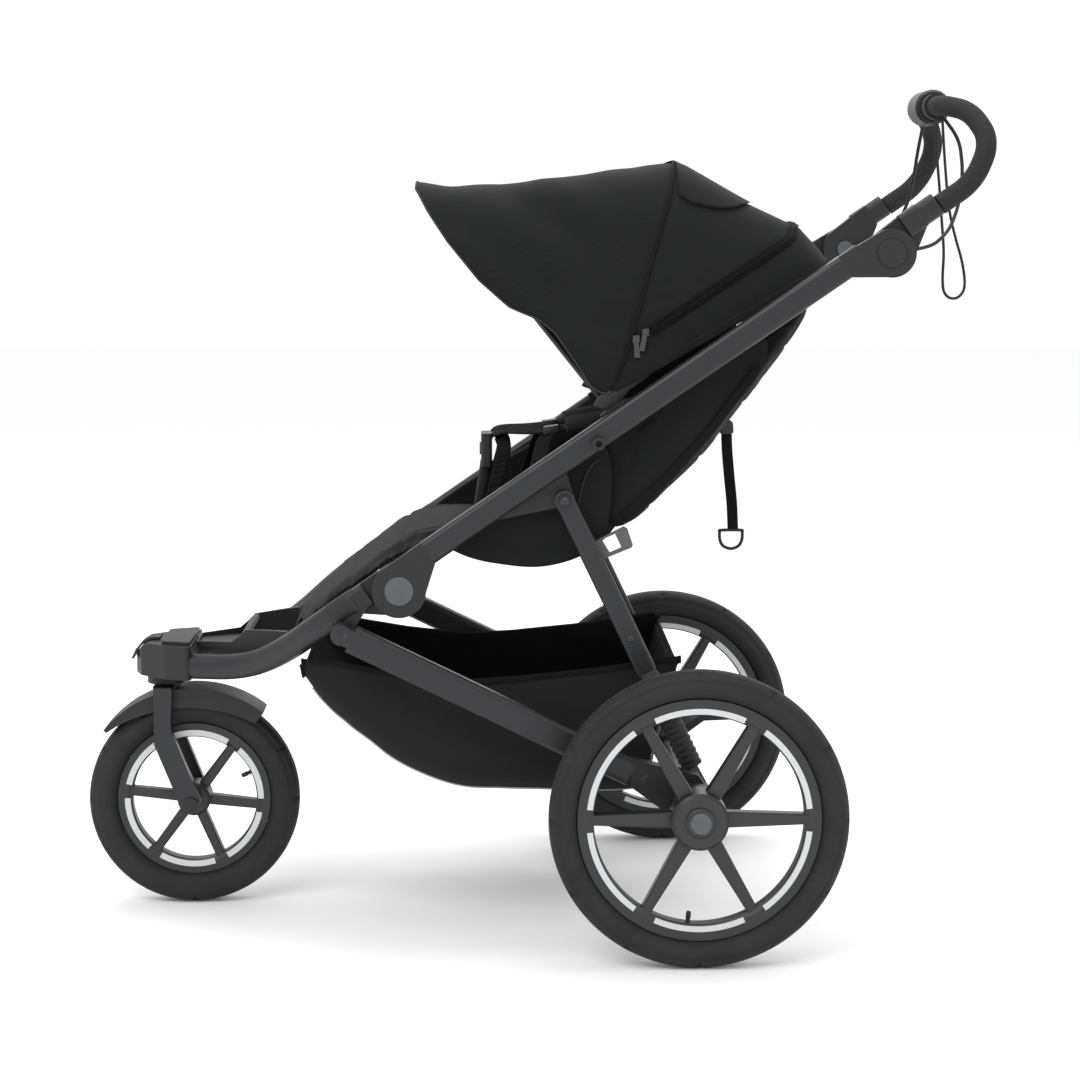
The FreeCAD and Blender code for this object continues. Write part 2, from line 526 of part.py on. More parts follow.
# ---------------------------------------------------------------- rear frame
def rear_frame():
    """Rear legs, axle castings with their stub axles, cross tube and basket."""
    legs, castings = [], []
    axle_at = (REAR_AXLE_X, REAR_WHEEL_RADIUS)
    leg_end = (214.0, 243.0)
    for side in SIDES.values():
        low, high = span(side, LEG_HALF - LEG_WIDE / 2, LEG_HALF + LEG_WIDE / 2)
        slope = math.atan2(leg_end[1] - LEG_PIVOT[1], leg_end[0] - LEG_PIVOT[0])
        start = (LEG_PIVOT[0] + 15 * math.cos(slope), LEG_PIVOT[1] + 15 * math.sin(slope))
        tube = rounded_bar(start, leg_end, LEG_TALL, low, high, corner=8.0, wall=2.4)
        knuckle_low, knuckle_high = span(side, TUBE_OUTER + 2, LEG_HALF + LEG_WIDE / 2)
        knuckle = fused([rod(LEG_PIVOT, 14.0, knuckle_low, knuckle_high),
                         rounded_bar(LEG_PIVOT, start, LEG_TALL - 12, knuckle_low, knuckle_high, corner=5.0)])
        pivot_pin = rod(LEG_PIVOT, 6.0 - RUNNING_GAP, *span(side, FRAME_HALF + 2, TUBE_OUTER + 3))
        legs.append(fused([tube, knuckle, pivot_pin]))
        arm = [(leg_end[0], leg_end[1] + 19), (REAR_AXLE_X + 6, 240), (REAR_AXLE_X + 24, 212),
               (REAR_AXLE_X + 20, 178), (REAR_AXLE_X - 18, 174), (leg_end[0], leg_end[1] - 19)]
        block = prism(arm, low, high)
        block = block.cut(rounded_bar(start, leg_end, LEG_TALL, low, high, corner=8.0))
        pad = prism([(STRUT_FOOT[0] - 26, 210), (STRUT_FOOT[0] + 16, 190), (STRUT_FOOT[0] + 16, 214),
                     (STRUT_FOOT[0] - 20, 230)], *span(side, FRAME_HALF - SHOCK_RADIUS, LEG_HALF))
        stub = rod(axle_at, AXLE_RADIUS, *span(side, LEG_HALF, REAR_TRACK / 2 + REAR_HUB_HALF - 6))
        drum = rod(axle_at, 31.0, *span(side, LEG_HALF + LEG_WIDE / 2 - 1, REAR_TRACK / 2 - REAR_HUB_HALF - 3))
        castings.append(fused([block, pad, stub, drum]))
    save("rear_legs", Part.makeCompound(legs))
    inner = LEG_HALF - LEG_WIDE / 2
    save("axle_castings", Part.makeCompound(castings))
    cut = Part.makeCompound(castings)
    save("rear_cross_tube", eye(CROSSBAR, CROSSBAR_RADIUS, -inner, inner, 10.0).cut(cut))


def basket():
    """The open-topped storage basket slung between the rear legs."""
    outline = [(-234, 392), (-236, 362), (-205, 322), (-165, 284), (-120, 248), (-74, 222), (-19, 203),
               (36, 197), (238, 199), (262, 300), (284, 372), (276, 392), (230, 384), (169, 375), (60, 364),
               (-14, 360), (-100, 370), (-190, 386)]
    inside = [(-229, 480), (-231, 364), (-201, 325), (-162, 288), (-118, 252), (-72, 226), (-18, 207),
              (36, 201), (234, 203), (258, 301), (279, 373), (270, 480)]
    half = BASKET_HALF
    save("basket", prism(outline, -half, half).cut(prism(inside, CLOTH - half, half - CLOTH)))


BASKET_HALF = 182.0


def brake_pedal():
    """The parking brake pedal that turns on the rear cross tube."""
    middle = 62.0
    ring = eye(CROSSBAR, 17.0, middle - 24, middle + 24, CROSSBAR_RADIUS + 0.08)
    arm = prism([(284, 227), (297, 219), (342, 252), (366, 252), (366, 260), (338, 261)], middle - 20,
                middle + 20)
    save("brake_pedal", fused([ring, arm.cut(rod(CROSSBAR, 16.0, middle - 30, middle + 30))]))


# ---------------------------------------------------------------- struts and suspension
def struts():
    """The strut, shock housing and rubber bellows of each side, with the fold latch plate."""
    length = math.dist(STRUT_TOP, STRUT_FOOT)
    lean = ((STRUT_FOOT[0] - STRUT_TOP[0]) / length, (STRUT_FOOT[1] - STRUT_TOP[1]) / length)

    def down(distance):
        return (STRUT_TOP[0] + lean[0] * distance, STRUT_TOP[1] + lean[1] * distance)

    def stacked(start, end, radius_top, radius_bottom, side):
        direction = Vector(lean[0], 0, lean[1])
        base = Vector(down(start)[0], side * FRAME_HALF, down(start)[1])
        if radius_top == radius_bottom:
            return Part.makeCylinder(radius_top, end - start, base, direction)
        return Part.makeCone(radius_top, radius_bottom, end - start, base, direction)

    thick = (FRAME_HALF - STRUT_THICK / 2, FRAME_HALF + STRUT_THICK / 2)
    for name, side in SIDES.items():
        low, high = span(side, *thick)
        bar = rounded_bar(down(0), down(262), STRUT_WIDE, low, high, corner=5.0)
        top = rod(STRUT_TOP, STRUT_WIDE / 2, low, high)
        bar = fused([bar, top]).cut(rod(STRUT_TOP, 6.0 + RUNNING_GAP, low, high))
        save(f"strut_{name}", bar)
        housing = fused([stacked(262, 284, 12.0, SHOCK_RADIUS + 3, side),
                         stacked(284, 330, SHOCK_RADIUS + 3, SHOCK_RADIUS + 3, side)])
        housing = housing.cut(stacked(318, 330, SHOCK_RADIUS, SHOCK_RADIUS, side))
        save(f"shock_housing_{name}", housing)
        ribs = 6
        pitch = (length - 14 - 318) / ribs
        rings = []
        for index in range(ribs):
            begin = 318 + index * pitch
            rings.append(stacked(begin, begin + pitch / 2, SHOCK_RADIUS - 4, SHOCK_RADIUS - 0.4, side))
            rings.append(stacked(begin + pitch / 2, begin + pitch, SHOCK_RADIUS - 0.4, SHOCK_RADIUS - 4, side))
        save(f"shock_bellows_{name}", fused(rings))
    plate_low, plate_high = span(-1, TUBE_INNER - 5.5, TUBE_INNER - 0.5)
    plate_at = down(92)
    plate = [(-14, 14), (-1, 23), (42, 45), (47, 42), (54.5, 20), (53, 16), (9, -2), (-5, -8)]
    window = [(12, 27), (30, 35), (39, 16), (23, 9)]
    outline = [(plate_at[0] + x, plate_at[1] + z) for x, z in plate]
    window = prism([(plate_at[0] + x, plate_at[1] + z) for x, z in window], plate_low, plate_high)
    boss = rod((plate_at[0] + 3, plate_at[1] + 4), 8.0, *span(-1, TUBE_INNER - 1, thick[0]))
    save("fold_latch_plate", fused([prism(outline, plate_low, plate_high).cut(window), boss]))


# ---------------------------------------------------------------- handlebar
CABLE_RADIUS = 2.5
CABLE_ROUTES = [
    [(668, -40, 1137), (690, -48, 1105), (693, -62, 1060), (684, -84, 1015), (664, -118, 978),
     (636, -152, 957), (606, -176, 951), (584, -189, 953)],
    [(655, 40, 1129), (650, 52, 1092), (648, 72, 1052), (645, 98, 1016), (636, 128, 986),
     (620, 156, 965), (600, 177, 955), (584, 189, 953)],
]
STRAP_RADIUS = 2.0
STRAP_ROUTE = [(662, -66, 1133), (664, -67, 1098), (668, -66, 1052), (673, -64, 1006), (683, -63, 966),
               (692, -64, 937), (696, -65, 915), (697, -66, 901), (695, -67, 889), (686, -67, 880),
               (675, -67, 880), (667, -67, 888), (665, -67, 900), (665, -67, 917), (667, -65, 946),
               (663, -66, 988), (659, -68, 1034), (654, -69, 1082), (652, -69, 1133)]


def handlebar():
    """The bent bar with its grip, the twist brake on its middle, brake cables and wrist strap."""
    mirrored = [(x, -y, z) for x, y, z in reversed(BAR_ROUTE)]
    wire = route_wire(BAR_ROUTE + mirrored, "handlebar")
    save("handlebar", tube_along(wire, BAR_RADIUS, "handlebar"))
    rings = [eye(BAR_MIDDLE, 18.0, 36.5, 58.0, BAR_RADIUS), eye(BAR_MIDDLE, 18.0, -58.0, -36.5, BAR_RADIUS)]
    save("brake_cable_collars", Part.makeCompound(rings))
    grip = turned([(BAR_RADIUS + RUNNING_GAP, -35), (22, -35), (25, -31), (25, 31), (22, 35),
                   (BAR_RADIUS + RUNNING_GAP, 35)])
    save("twist_brake", placed(grip, BAR_MIDDLE, 0))
    cables = []
    for route in CABLE_ROUTES:
        cables.append(tube_along(route_wire(route, "brake cable"), CABLE_RADIUS, "brake cable"))
    save("brake_cables", Part.makeCompound(cables))
    strap = tube_along(route_wire(STRAP_ROUTE, "wrist strap"), STRAP_RADIUS, "wrist strap")
    save("wrist_strap", strap)


# ---------------------------------------------------------------- seat and harness
SEAT_HALF = 184.0
SEAT_TOP = [(-256, 424), (-230, 441), (-196, 475), (-150, 510), (-106, 542), (-66, 558), (0, 562), (90, 545),
            (168, 560)]
SEAT_UNDER = [(176, 552), (92, 517), (-10, 530), (-34, 546), (-60, 547), (-108, 527), (-158, 488), (-210, 446),
              (-236, 426), (-254, 415)]


def seat():
    """The fabric seat: sling from the foot tray over the knee to the back of the seat, with side walls."""
    sling = prism(SEAT_TOP + SEAT_UNDER, -SEAT_HALF + 1, SEAT_HALF - 1)
    taper = [Vector(-330, 100, 0), Vector(-262, 118, 0), Vector(-200, SEAT_HALF - 26, 0),
             Vector(-150, SEAT_HALF, 0), Vector(220, SEAT_HALF, 0)]
    taper += [Vector(point.x, -point.y, 0) for point in reversed(taper)]
    plan = Part.Face(Part.makePolygon(taper + taper[:1])).extrude(Vector(0, 0, 900))
    sling = sling.common(plan)
    wall = [(-66, 557), (2, 599), (96, 654), (172, 698), (188, 640), (176, 552), (92, 517), (-10, 531),
            (-34, 547), (-60, 548)]
    walls = [prism(wall, *span(side, SEAT_HALF - CLOTH, SEAT_HALF)) for side in SIDES.values()]
    save("seat_shell", fused([sling] + walls))


def backrest():
    """The reclining back panel with its wings, and the recline strap with buckle and ring behind it."""
    back = [(186, 566), (216, 573), (262, 615), (318, 669), (362, 724), (408, 784), (456, 852), (474, 884),
            (458, 898)]
    front = [(440, 872), (398, 814), (350, 752), (302, 692), (248, 637), (200, 590), (182, 578)]
    half = 172.0
    plan = [Vector(150, half, 0), Vector(400, half, 0), Vector(480, half - 26, 0)]
    plan += [Vector(point.x, -point.y, 0) for point in reversed(plan)]
    shoulders = Part.Face(Part.makePolygon(plan + plan[:1])).extrude(Vector(0, 0, 1000))
    panel = prism(back + front, -half, half).common(shoulders)
    wing = [(196, 580), (216, 573), (262, 615), (318, 669), (362, 724), (404, 780), (408, 838), (360, 830),
            (270, 774), (210, 732), (196, 690)]
    wings = [prism(wing, *span(side, half - CLOTH, half)) for side in SIDES.values()]
    save("backrest_shell", fused([panel] + wings))
    strap = prism([(359, 682), (375, 682), (385, 541), (368.5, 541)], -1.6, 1.6)
    save("recline_strap", strap)
    buckle = prism([(347.5, 704), (354, 712.5), (362, 710), (375, 698), (376, 684), (370, 682), (358, 682),
                    (349, 694)], -13.0, 13.0)
    ring = ring_plate((374.0, 528.0), 17.0, 13.0, 6.0).cut(ring_plate((374.0, 528.5), 13.0, 9.0, 6.0))
    save("recline_buckle_and_ring", Part.makeCompound([buckle, ring]))


def ring_plate(centre, half_long, half_tall, thick):
    """A flat plate with a straight top and a rounded bottom, the outline of a D-ring."""
    x, z = centre
    top_corners = [Vector(x + half_long, 0, z), Vector(x + half_long, 0, z + half_tall),
                   Vector(x - half_long, 0, z + half_tall), Vector(x - half_long, 0, z)]
    lines = [Part.LineSegment(a, b).toShape() for a, b in zip(top_corners, top_corners[1:])]
    bow = Part.Arc(top_corners[-1], Vector(x, 0, z - half_tall - 2), top_corners[0]).toShape()
    face = Part.Face(Part.Wire(lines + [bow]))
    face.translate(Vector(0, -thick / 2, 0))
    return face.extrude(Vector(0, thick, 0))


def flat_strap(start, end, y_start, y_end, width, thick):
    """A flat strap between two (x, z) points, its width across the seat."""
    low = [Vector(start[0], y_start - width / 2, start[1]), Vector(start[0], y_start + width / 2, start[1]),
           Vector(end[0], y_end + width / 2, end[1]), Vector(end[0], y_end - width / 2, end[1])]
    length = math.dist(start, end)
    normal = Vector(-(end[1] - start[1]) / length * thick, 0, (end[0] - start[0]) / length * thick)
    top = [point + normal for point in low]
    wires = [Part.makePolygon(low + low[:1]), Part.makePolygon(top + top[:1])]
    return Part.makeLoft(wires, True, True)


def harness():
    """Crotch, waist and shoulder straps with shoulder pads, the buckle and its release button."""
    straps = [flat_strap((2, 580), (10, 636), 0, 0, 34.0, 3.0)]
    pads = []
    for side in SIDES.values():
        straps.append(flat_strap((30, 686), (100, 698), side * 22, side * 48, 24.0, 3.0))
        pads.append(flat_strap((101, 698), (232, 718), side * 50, side * 62, 46.0, 12.0))
        straps.append(flat_strap((30, 655), (150, 600), side * 40, side * 150, 24.0, 3.0))
    save("harness_straps", Part.makeCompound(straps + pads))
    middle = (19.0, 0.0, 662.0)
    shell = box(middle[0] - 8, middle[0] + 8, -25.0, 25.0, 637.0, 685.0, corner=5.0)
    pocket = Part.makeCylinder(9.1, 6.0, Vector(middle[0] - 8, 0, middle[2]), Vector(1, 0, 0))
    save("harness_buckle", shell.cut(pocket))
    save("buckle_button", Part.makeCylinder(9.0, 5.5, Vector(middle[0] - 10, 0, middle[2]), Vector(1, 0, 0)))


# ---------------------------------------------------------------- canopy
CANOPY_CREST = [(-78, 1048), (-30, 1044), (38, 1045), (183, 1060), (282, 1075), (302, 1067), (386, 1018),
                (459, 985), (488, 953), (504, 930)]
CANOPY_SIDE = [(184, 752), (160, 764), (144, 792), (112, 838), (90, 856), (50, 872), (8, 910), (-34, 962),
               (-61, 1004), (-78, 1036), (-78, 1200), (600, 1200), (600, 930), (500, 932), (446, 900), (228, 776)]


VAULT_FLOOR = 600.0
VAULT_CORNER = 4.5


def arch(x, crest, half):
    """Points of one arch-shaped section of the canopy, from side to side."""
    steps = 14
    points = []
    for index in range(steps + 1):
        angle = math.pi * index / steps
        across = half * math.copysign(abs(math.cos(angle)) ** (2 / VAULT_CORNER), math.cos(angle))
        up = VAULT_FLOOR + (crest - VAULT_FLOOR) * math.sin(angle) ** (2 / VAULT_CORNER)
        points.append(Vector(x, across, up))
    return points


def canopy():
    """The canopy cloth, open to the front and below, and the bow that carries its front edge."""
    bands = []
    for x, crest in CANOPY_CREST:
        band = arch(x, crest, CANOPY_HALF) + arch(x, crest - CLOTH, CANOPY_HALF - CLOTH)[::-1]
        bands.append(Part.makePolygon(band + band[:1]))
    shell = Part.makeLoft(bands, True, True)
    save("canopy", shell.common(prism(CANOPY_SIDE, -220, 220)))
    half = TUBE_INNER - 18
    tip = (-46.0, 1024.0)
    route = []
    for share in (0.02, 0.3, 0.52, 0.7, 0.84, 0.94, 0.99):
        x = CANOPY_PIVOT[0] + share * (tip[0] - CANOPY_PIVOT[0])
        z = CANOPY_PIVOT[1] + share * (tip[1] - CANOPY_PIVOT[1])
        up = (z - VAULT_FLOOR) / (tip[1] + 8 - VAULT_FLOOR)
        route.append((x, half * (1 - up ** VAULT_CORNER) ** (1 / VAULT_CORNER), z))
    route += [(x, -y, z) for x, y, z in reversed(route)]
    bow = tube_along(route_wire(route, "canopy bow"), 3.5, "canopy bow")
    eyes = [rod(CANOPY_PIVOT, 10.0, *span(side, half - 3.4, half + 4)) for side in SIDES.values()]
    whole = fused([bow] + eyes)
    for side in SIDES.values():
        whole = whole.cut(rod(CANOPY_PIVOT, 4.0 + RUNNING_GAP, *span(side, half - 4, half + 8)))
    save("canopy_bow", whole)


# ---------------------------------------------------------------- writing the pieces
MODELLED = {}
SAVED = {}


def save(name, shape):
    """Moves a finished piece to the part's origin and writes it."""
    MODELLED[name] = shape
    moved = shape.copy()
    moved.translate(TO_ORIGIN)
    SAVED[name] = moved
    moved.exportStep(f"parts/{name}.step")


def main():
    os.makedirs("parts", exist_ok=True)
    for name, side in SIDES.items():
        rear_wheel(name, side)
    front_wheel()
    hinge_hubs()
    adjust_buttons()
    upper_frame()
    front_tubes()
    nose()
    swivel_lock()
    footrest()
    fork()
    rear_frame()
    basket()
    brake_pedal()
    struts()
    handlebar()
    seat()
    backrest()
    harness()
    canopy()
    whole = Part.makeCompound(list(SAVED.values())).BoundBox
    print("nodes", len(SAVED), "to origin", round(TO_ORIGIN.x, 3))
    print("box", whole.XMin, whole.XMax, whole.YMin, whole.YMax, whole.ZMin, whole.ZMax)
    for name, shape in SAVED.items():
        if not shape.isValid() or shape.Volume <= 0:
            print("invalid", name, shape.Volume)


main()
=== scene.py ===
import json
import math

import bmesh
import bpy
import numpy as np
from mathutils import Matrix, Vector, noise

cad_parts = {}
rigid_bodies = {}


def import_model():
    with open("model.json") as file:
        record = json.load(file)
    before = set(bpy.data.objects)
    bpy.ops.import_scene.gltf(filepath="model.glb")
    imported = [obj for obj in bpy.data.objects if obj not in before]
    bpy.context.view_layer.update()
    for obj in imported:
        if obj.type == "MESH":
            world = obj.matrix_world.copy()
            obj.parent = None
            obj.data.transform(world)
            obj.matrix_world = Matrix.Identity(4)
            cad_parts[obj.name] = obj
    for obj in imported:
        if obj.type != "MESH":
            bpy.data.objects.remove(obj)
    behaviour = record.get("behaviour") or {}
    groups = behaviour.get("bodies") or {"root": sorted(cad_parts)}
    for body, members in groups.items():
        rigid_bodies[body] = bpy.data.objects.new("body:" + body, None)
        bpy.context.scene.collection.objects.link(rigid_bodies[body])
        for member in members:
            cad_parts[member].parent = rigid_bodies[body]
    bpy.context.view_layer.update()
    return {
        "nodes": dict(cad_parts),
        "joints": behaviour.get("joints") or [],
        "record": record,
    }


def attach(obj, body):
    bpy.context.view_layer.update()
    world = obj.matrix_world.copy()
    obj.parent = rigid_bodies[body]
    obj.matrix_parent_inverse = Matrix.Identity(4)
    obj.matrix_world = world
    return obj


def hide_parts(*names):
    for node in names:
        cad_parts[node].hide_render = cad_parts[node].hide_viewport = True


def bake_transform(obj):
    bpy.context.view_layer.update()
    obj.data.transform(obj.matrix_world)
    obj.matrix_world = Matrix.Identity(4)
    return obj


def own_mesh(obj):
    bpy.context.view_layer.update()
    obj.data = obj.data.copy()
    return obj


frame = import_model()
JOINTS = {joint["name"]: joint for joint in frame["joints"]}


def hinge(name):
    """A joint's point in the frame."""
    return Vector(JOINTS[name]["pos_m"])


FOLD_HUB = hinge("frame_fold")
MM = 0.001
SIDES = {"left": -1, "right": 1}
# The fold hub's own station in the part's drawing; every drawing point below is placed from it.
HUB_STATION = Vector((-100.8, 0.0, 488.8))


def at(x, y, z):
    """A point of the drawing, in millimetres, as a point of the frame, in metres."""
    return FOLD_HUB + (Vector((x, y, z)) - HUB_STATION) * MM


# ---------------- materials
class Paint:
    """Builds one procedural material node by node."""

    def __init__(self, name):
        self.stuff = bpy.data.materials.new(name)
        self.stuff.use_nodes = True
        self.tree = self.stuff.node_tree
        self.shader = self.tree.nodes["Principled BSDF"]
        self.place = self.tree.nodes.new("ShaderNodeTexCoord").outputs["Object"]

    def node(self, kind, inputs=None, **settings):
        made = self.tree.nodes.new(kind)
        for key, value in settings.items():
            setattr(made, key, value)
        for key, value in (inputs or {}).items():
            if isinstance(value, bpy.types.NodeSocket):
                self.tree.links.new(value, made.inputs[key])
            else:
                made.inputs[key].default_value = value
        return made

    def set(self, **sockets):
        for name, value in sockets.items():
            socket = self.shader.inputs[name.replace("_", " ")]
            if isinstance(value, bpy.types.NodeSocket):
                self.tree.links.new(value, socket)
            else:
                socket.default_value = value

    def stretched(self, scale):
        return self.node("ShaderNodeMapping", {"Vector": self.place, "Scale": scale}).outputs["Vector"]

    def noise(self, scale, detail=3.0, where=None):
        made = self.node("ShaderNodeTexNoise",
                         {"Vector": where or self.place, "Scale": scale, "Detail": detail})
        return made.outputs["Fac"]

    def cells(self, scale):
        made = self.node("ShaderNodeTexVoronoi", {"Vector": self.place, "Scale": scale})
        return made.outputs["Distance"]

    def waves(self, scale, direction, distortion):
        made = self.node("ShaderNodeTexWave",
                         {"Vector": self.place, "Scale": scale, "Distortion": distortion},
                         bands_direction=direction)
        return made.outputs["Fac"]

    def math(self, kind, first, second):
        made = self.node("ShaderNodeMath", {0: first, 1: second}, operation=kind)
        return made.outputs[0]

    def vary(self, base, value, amount):
        return self.math("ADD", base, self.math("MULTIPLY", value, amount))

    def ramp(self, value, stops):
        made = self.node("ShaderNodeValToRGB", {"Fac": value})
        band = made.color_ramp
        while len(band.elements) < len(stops):
            band.elements.new(0.5)
        for element, (position, colour) in zip(band.elements, stops):
            element.position = position
            element.color = (*colour, 1)
        return made.outputs["Color"]

    def bump(self, height, strength, distance, under=None):
        inputs = {"Height": height, "Strength": strength, "Distance": distance}
        if under is not None:
            inputs["Normal"] = under
        return self.node("ShaderNodeBump", inputs).outputs["Normal"]


def shade(colour, factor):
    return tuple(min(1.0, channel * factor) for channel in colour)


def mottled(paint, colour, scale, spread, detail=4.0):
    """A colour that varies softly about its mean."""
    return paint.ramp(paint.noise(scale, detail), [(0.3, shade(colour, 1 - spread)),
                                                   (0.7, shade(colour, 1 + spread))])


# The wave texture's scale for one thread, times the thread's width.
WAVE_SCALE = 0.16


def woven(name, colour, thread=0.0009, depth=0.00014, sheen=0.04, fleck=0.25):
    """Plain-weave cloth: crossed threads, slubs in the yarn, a soft sheen, and a tone that varies at random
    and darkens in the crease hollows as painted shade.
    """
    paint = Paint(name)
    turn = 1 / thread * WAVE_SCALE
    along = paint.waves(turn, "X", 1.0)
    upright = paint.waves(turn, "Z", 1.0)
    across = paint.waves(turn, "Y", 1.0)
    weave = paint.math("ADD", paint.math("MULTIPLY", along, upright), across)
    slub = paint.noise(420, 2.0)
    crease = paint.noise(9, 3.0)
    yarn = paint.math("ADD", paint.math("MULTIPLY", slub, 0.6), paint.math("MULTIPLY", weave, 0.25))
    base = paint.ramp(yarn,
                      [(0.3, shade(colour, 1 - fleck)), (0.75, shade(colour, 1 + fleck))])
    # Partly random tone, partly painted shade: the colour lightens where the crease bump rises and darkens in
    # its hollows.
    tone_and_crease_shade = paint.node("ShaderNodeMix", {"Factor": crease, 6: base}, data_type="RGBA")
    tone_and_crease_shade.inputs[7].default_value = (*shade(colour, 1.12), 1)
    soft = paint.bump(crease, 0.25, 0.004)
    normal = paint.bump(weave, 0.55, depth, soft)
    paint.set(Base_Color=tone_and_crease_shade.outputs[2],
              Roughness=paint.vary(0.72, slub, 0.2),
              Normal=normal, Sheen_Weight=sheen, Sheen_Roughness=0.55, Specular_IOR_Level=0.1)
    return paint.stuff


def moulded(name, colour, rough=0.5, grain=900, depth=0.00012, level=0.4):
    """Fine-grained moulded plastic, a little worn to a different gloss in places."""
    paint = Paint(name)
    fine = paint.noise(grain, 2.0)
    worn = paint.noise(14, 5.0)
    paint.set(Base_Color=mottled(paint, colour, 60, 0.08),
              Roughness=paint.vary(rough - 0.08, worn, 0.18),
              Normal=paint.bump(fine, 0.35, depth), Specular_IOR_Level=level)
    return paint.stuff


def anodised(name, colour, rough=0.38):
    """Satin anodised tube: metallic flake under a thin coat, with faint drawing lines."""
    paint = Paint(name)
    flake = paint.noise(2600, 1.0)
    drawn = paint.noise(3.0, 6.0, paint.stretched((8, 300, 300)))
    paint.set(Base_Color=mottled(paint, colour, 500, 0.12),
              Roughness=paint.vary(rough - 0.05, drawn, 0.12),
              Normal=paint.bump(flake, 0.12, 0.00006), Metallic=0.55,
              Coat_Weight=0.12, Coat_Roughness=0.35)
    return paint.stuff


def rubber(name, colour, rough=0.72, pores=700):
    paint = Paint(name)
    dust = paint.noise(22, 5.0)
    paint.set(Base_Color=mottled(paint, colour, 18, 0.22),
              Roughness=paint.vary(rough - 0.1, dust, 0.22),
              Normal=paint.bump(paint.noise(pores, 3.0), 0.4, 0.00025), Specular_IOR_Level=0.35)
    return paint.stuff


def foam(name, colour):
    paint = Paint(name)
    pores = paint.cells(900)
    paint.set(Base_Color=mottled(paint, colour, 260, 0.15), Roughness=0.82,
              Normal=paint.bump(pores, 0.6, 0.0003, paint.bump(paint.noise(160, 3.0), 0.3, 0.0006)),
              Specular_IOR_Level=0.2)
    return paint.stuff


def reflecting(name):
    """Silver glass-bead strip with a fine honeycomb and a faint painted glow standing in for its bright
    reflection.
    """
    paint = Paint(name)
    beads = paint.cells(1400)
    # Painted glow: a faint emission stands in for the light the glass beads send back; the strip is no lamp.
    paint.set(Base_Color=paint.ramp(beads, [(0.0, (0.62, 0.63, 0.64)), (1.0, (0.42, 0.43, 0.44))]),
              Roughness=0.35, Metallic=0.25, Normal=paint.bump(beads, 0.35, 0.0001),
              Emission_Color=(0.9, 0.92, 0.95, 1), Emission_Strength=0.03)
    return paint.stuff


def webbing(name, colour):
    """Woven strap with ribs along and across it."""
    paint = Paint(name)
    ribs = paint.waves(260, "Y", 0.4)
    cross = paint.waves(420, "DIAGONAL", 0.6)
    both = paint.math("ADD", paint.math("MULTIPLY", ribs, 0.6), paint.math("MULTIPLY", cross, 0.4))
    paint.set(Base_Color=paint.ramp(both, [(0.2, shade(colour, 0.6)), (0.8, shade(colour, 1.5))]),
              Roughness=0.78, Normal=paint.bump(both, 0.6, 0.0004), Sheen_Weight=0.02,
              Specular_IOR_Level=0.1)
    return paint.stuff


def turned_steel(name, colour=(0.5, 0.5, 0.51)):
    paint = Paint(name)
    rings = paint.noise(3.0, 5.0, paint.stretched((900, 60, 900)))
    paint.set(Base_Color=mottled(paint, colour, 90, 0.1), Metallic=1.0,
              Roughness=paint.vary(0.25, rings, 0.2),
              Normal=paint.bump(rings, 0.15, 0.00005))
    return paint.stuff


CHARCOAL = (0.0085, 0.0088, 0.0092)
# Each look: how it is made, its colour and its own settings.
FINISHES = {
    "frame_tube": (anodised, (0.024, 0.0245, 0.0262)),
    "casting": (moulded, (0.0105, 0.0108, 0.0117), 0.5),
    "steel": (turned_steel, (0.3, 0.3, 0.31)),
    "metal_grey": (moulded, (0.035, 0.036, 0.039), 0.4),
    "tyre": (rubber, (0.0125, 0.0127, 0.0133)),
    "rim": (moulded, (0.0135, 0.014, 0.015), 0.42, 700, 0.00012, 0.5),
    "reflector": (reflecting,),
    "button": (moulded, (0.075, 0.078, 0.084), 0.45),
    "cloth": (woven, CHARCOAL),
    "cloth_dark": (woven, (0.006, 0.006, 0.0065), 0.0012, 0.0004, 0.02),
    "basket_cloth": (woven, (0.0115, 0.0122, 0.0118), 0.0008, 0.0002, 0.04, 0.15),
    "piping": (woven, (0.03, 0.031, 0.033), 0.0007, 0.0002, 0.05),
    "silver_piping": (woven, (0.26, 0.265, 0.27), 0.0007, 0.0002, 0.05),
    "zipper": (webbing, (0.0022, 0.0022, 0.0023)),
    "coil": (webbing, (0.0035, 0.0035, 0.0036)),
    "webbing": (webbing, (0.008, 0.008, 0.0085)),
    "webbing_pad": (woven, (0.0145, 0.0148, 0.0155), 0.0011, 0.0004),
    "foam": (foam, (0.02, 0.02, 0.021)),
    "bellows": (rubber, (0.016, 0.016, 0.017), 0.6),
    "cable": (rubber, (0.007, 0.007, 0.0075), 0.5, 1500),
}
LOOKS = {name: make(name, *settings) for name, (make, *settings) in FINISHES.items()}


def dress_cad():
    """Gives every CAD node the material of its slot, except the twist brake and the front axle, which take
    the casting look.
    """
    for part in frame["record"]["subparts"]:
        node = frame["nodes"][part["node"]]
        node.data.materials.clear()
        look = "casting" if part["node"] in ("twist_brake", "front_axle") else part["material_slot"]
        node.data.materials.append(LOOKS[look])


# ---------------- camera, light and floor
def camera():
    data = bpy.data.cameras.new("camera")
    data.sensor_width = 36
    data.lens = 76.755
    data.shift_y = -0.14
    data.clip_end = 50
    body = bpy.data.objects.new("camera", data)
    bpy.context.scene.collection.objects.link(body)
    body.location = at(13.5, -3315.6, 998.1)
    pitch = math.radians(4.318)
    yaw = math.radians(1.43)
    body.rotation_euler = (math.pi / 2 - pitch, 0, -yaw)
    bpy.context.scene.camera = body


def light(name, place, target, size, power):
    data = bpy.data.lights.new(name, "AREA")
    data.shape = "RECTANGLE"
    data.size, data.size_y = size
    data.energy = power
    lamp = bpy.data.objects.new(name, data)
    bpy.context.scene.collection.objects.link(lamp)
    lamp.location = place
    lamp.rotation_euler = (Vector(target) - Vector(place)).to_track_quat("-Z", "Y").to_euler()


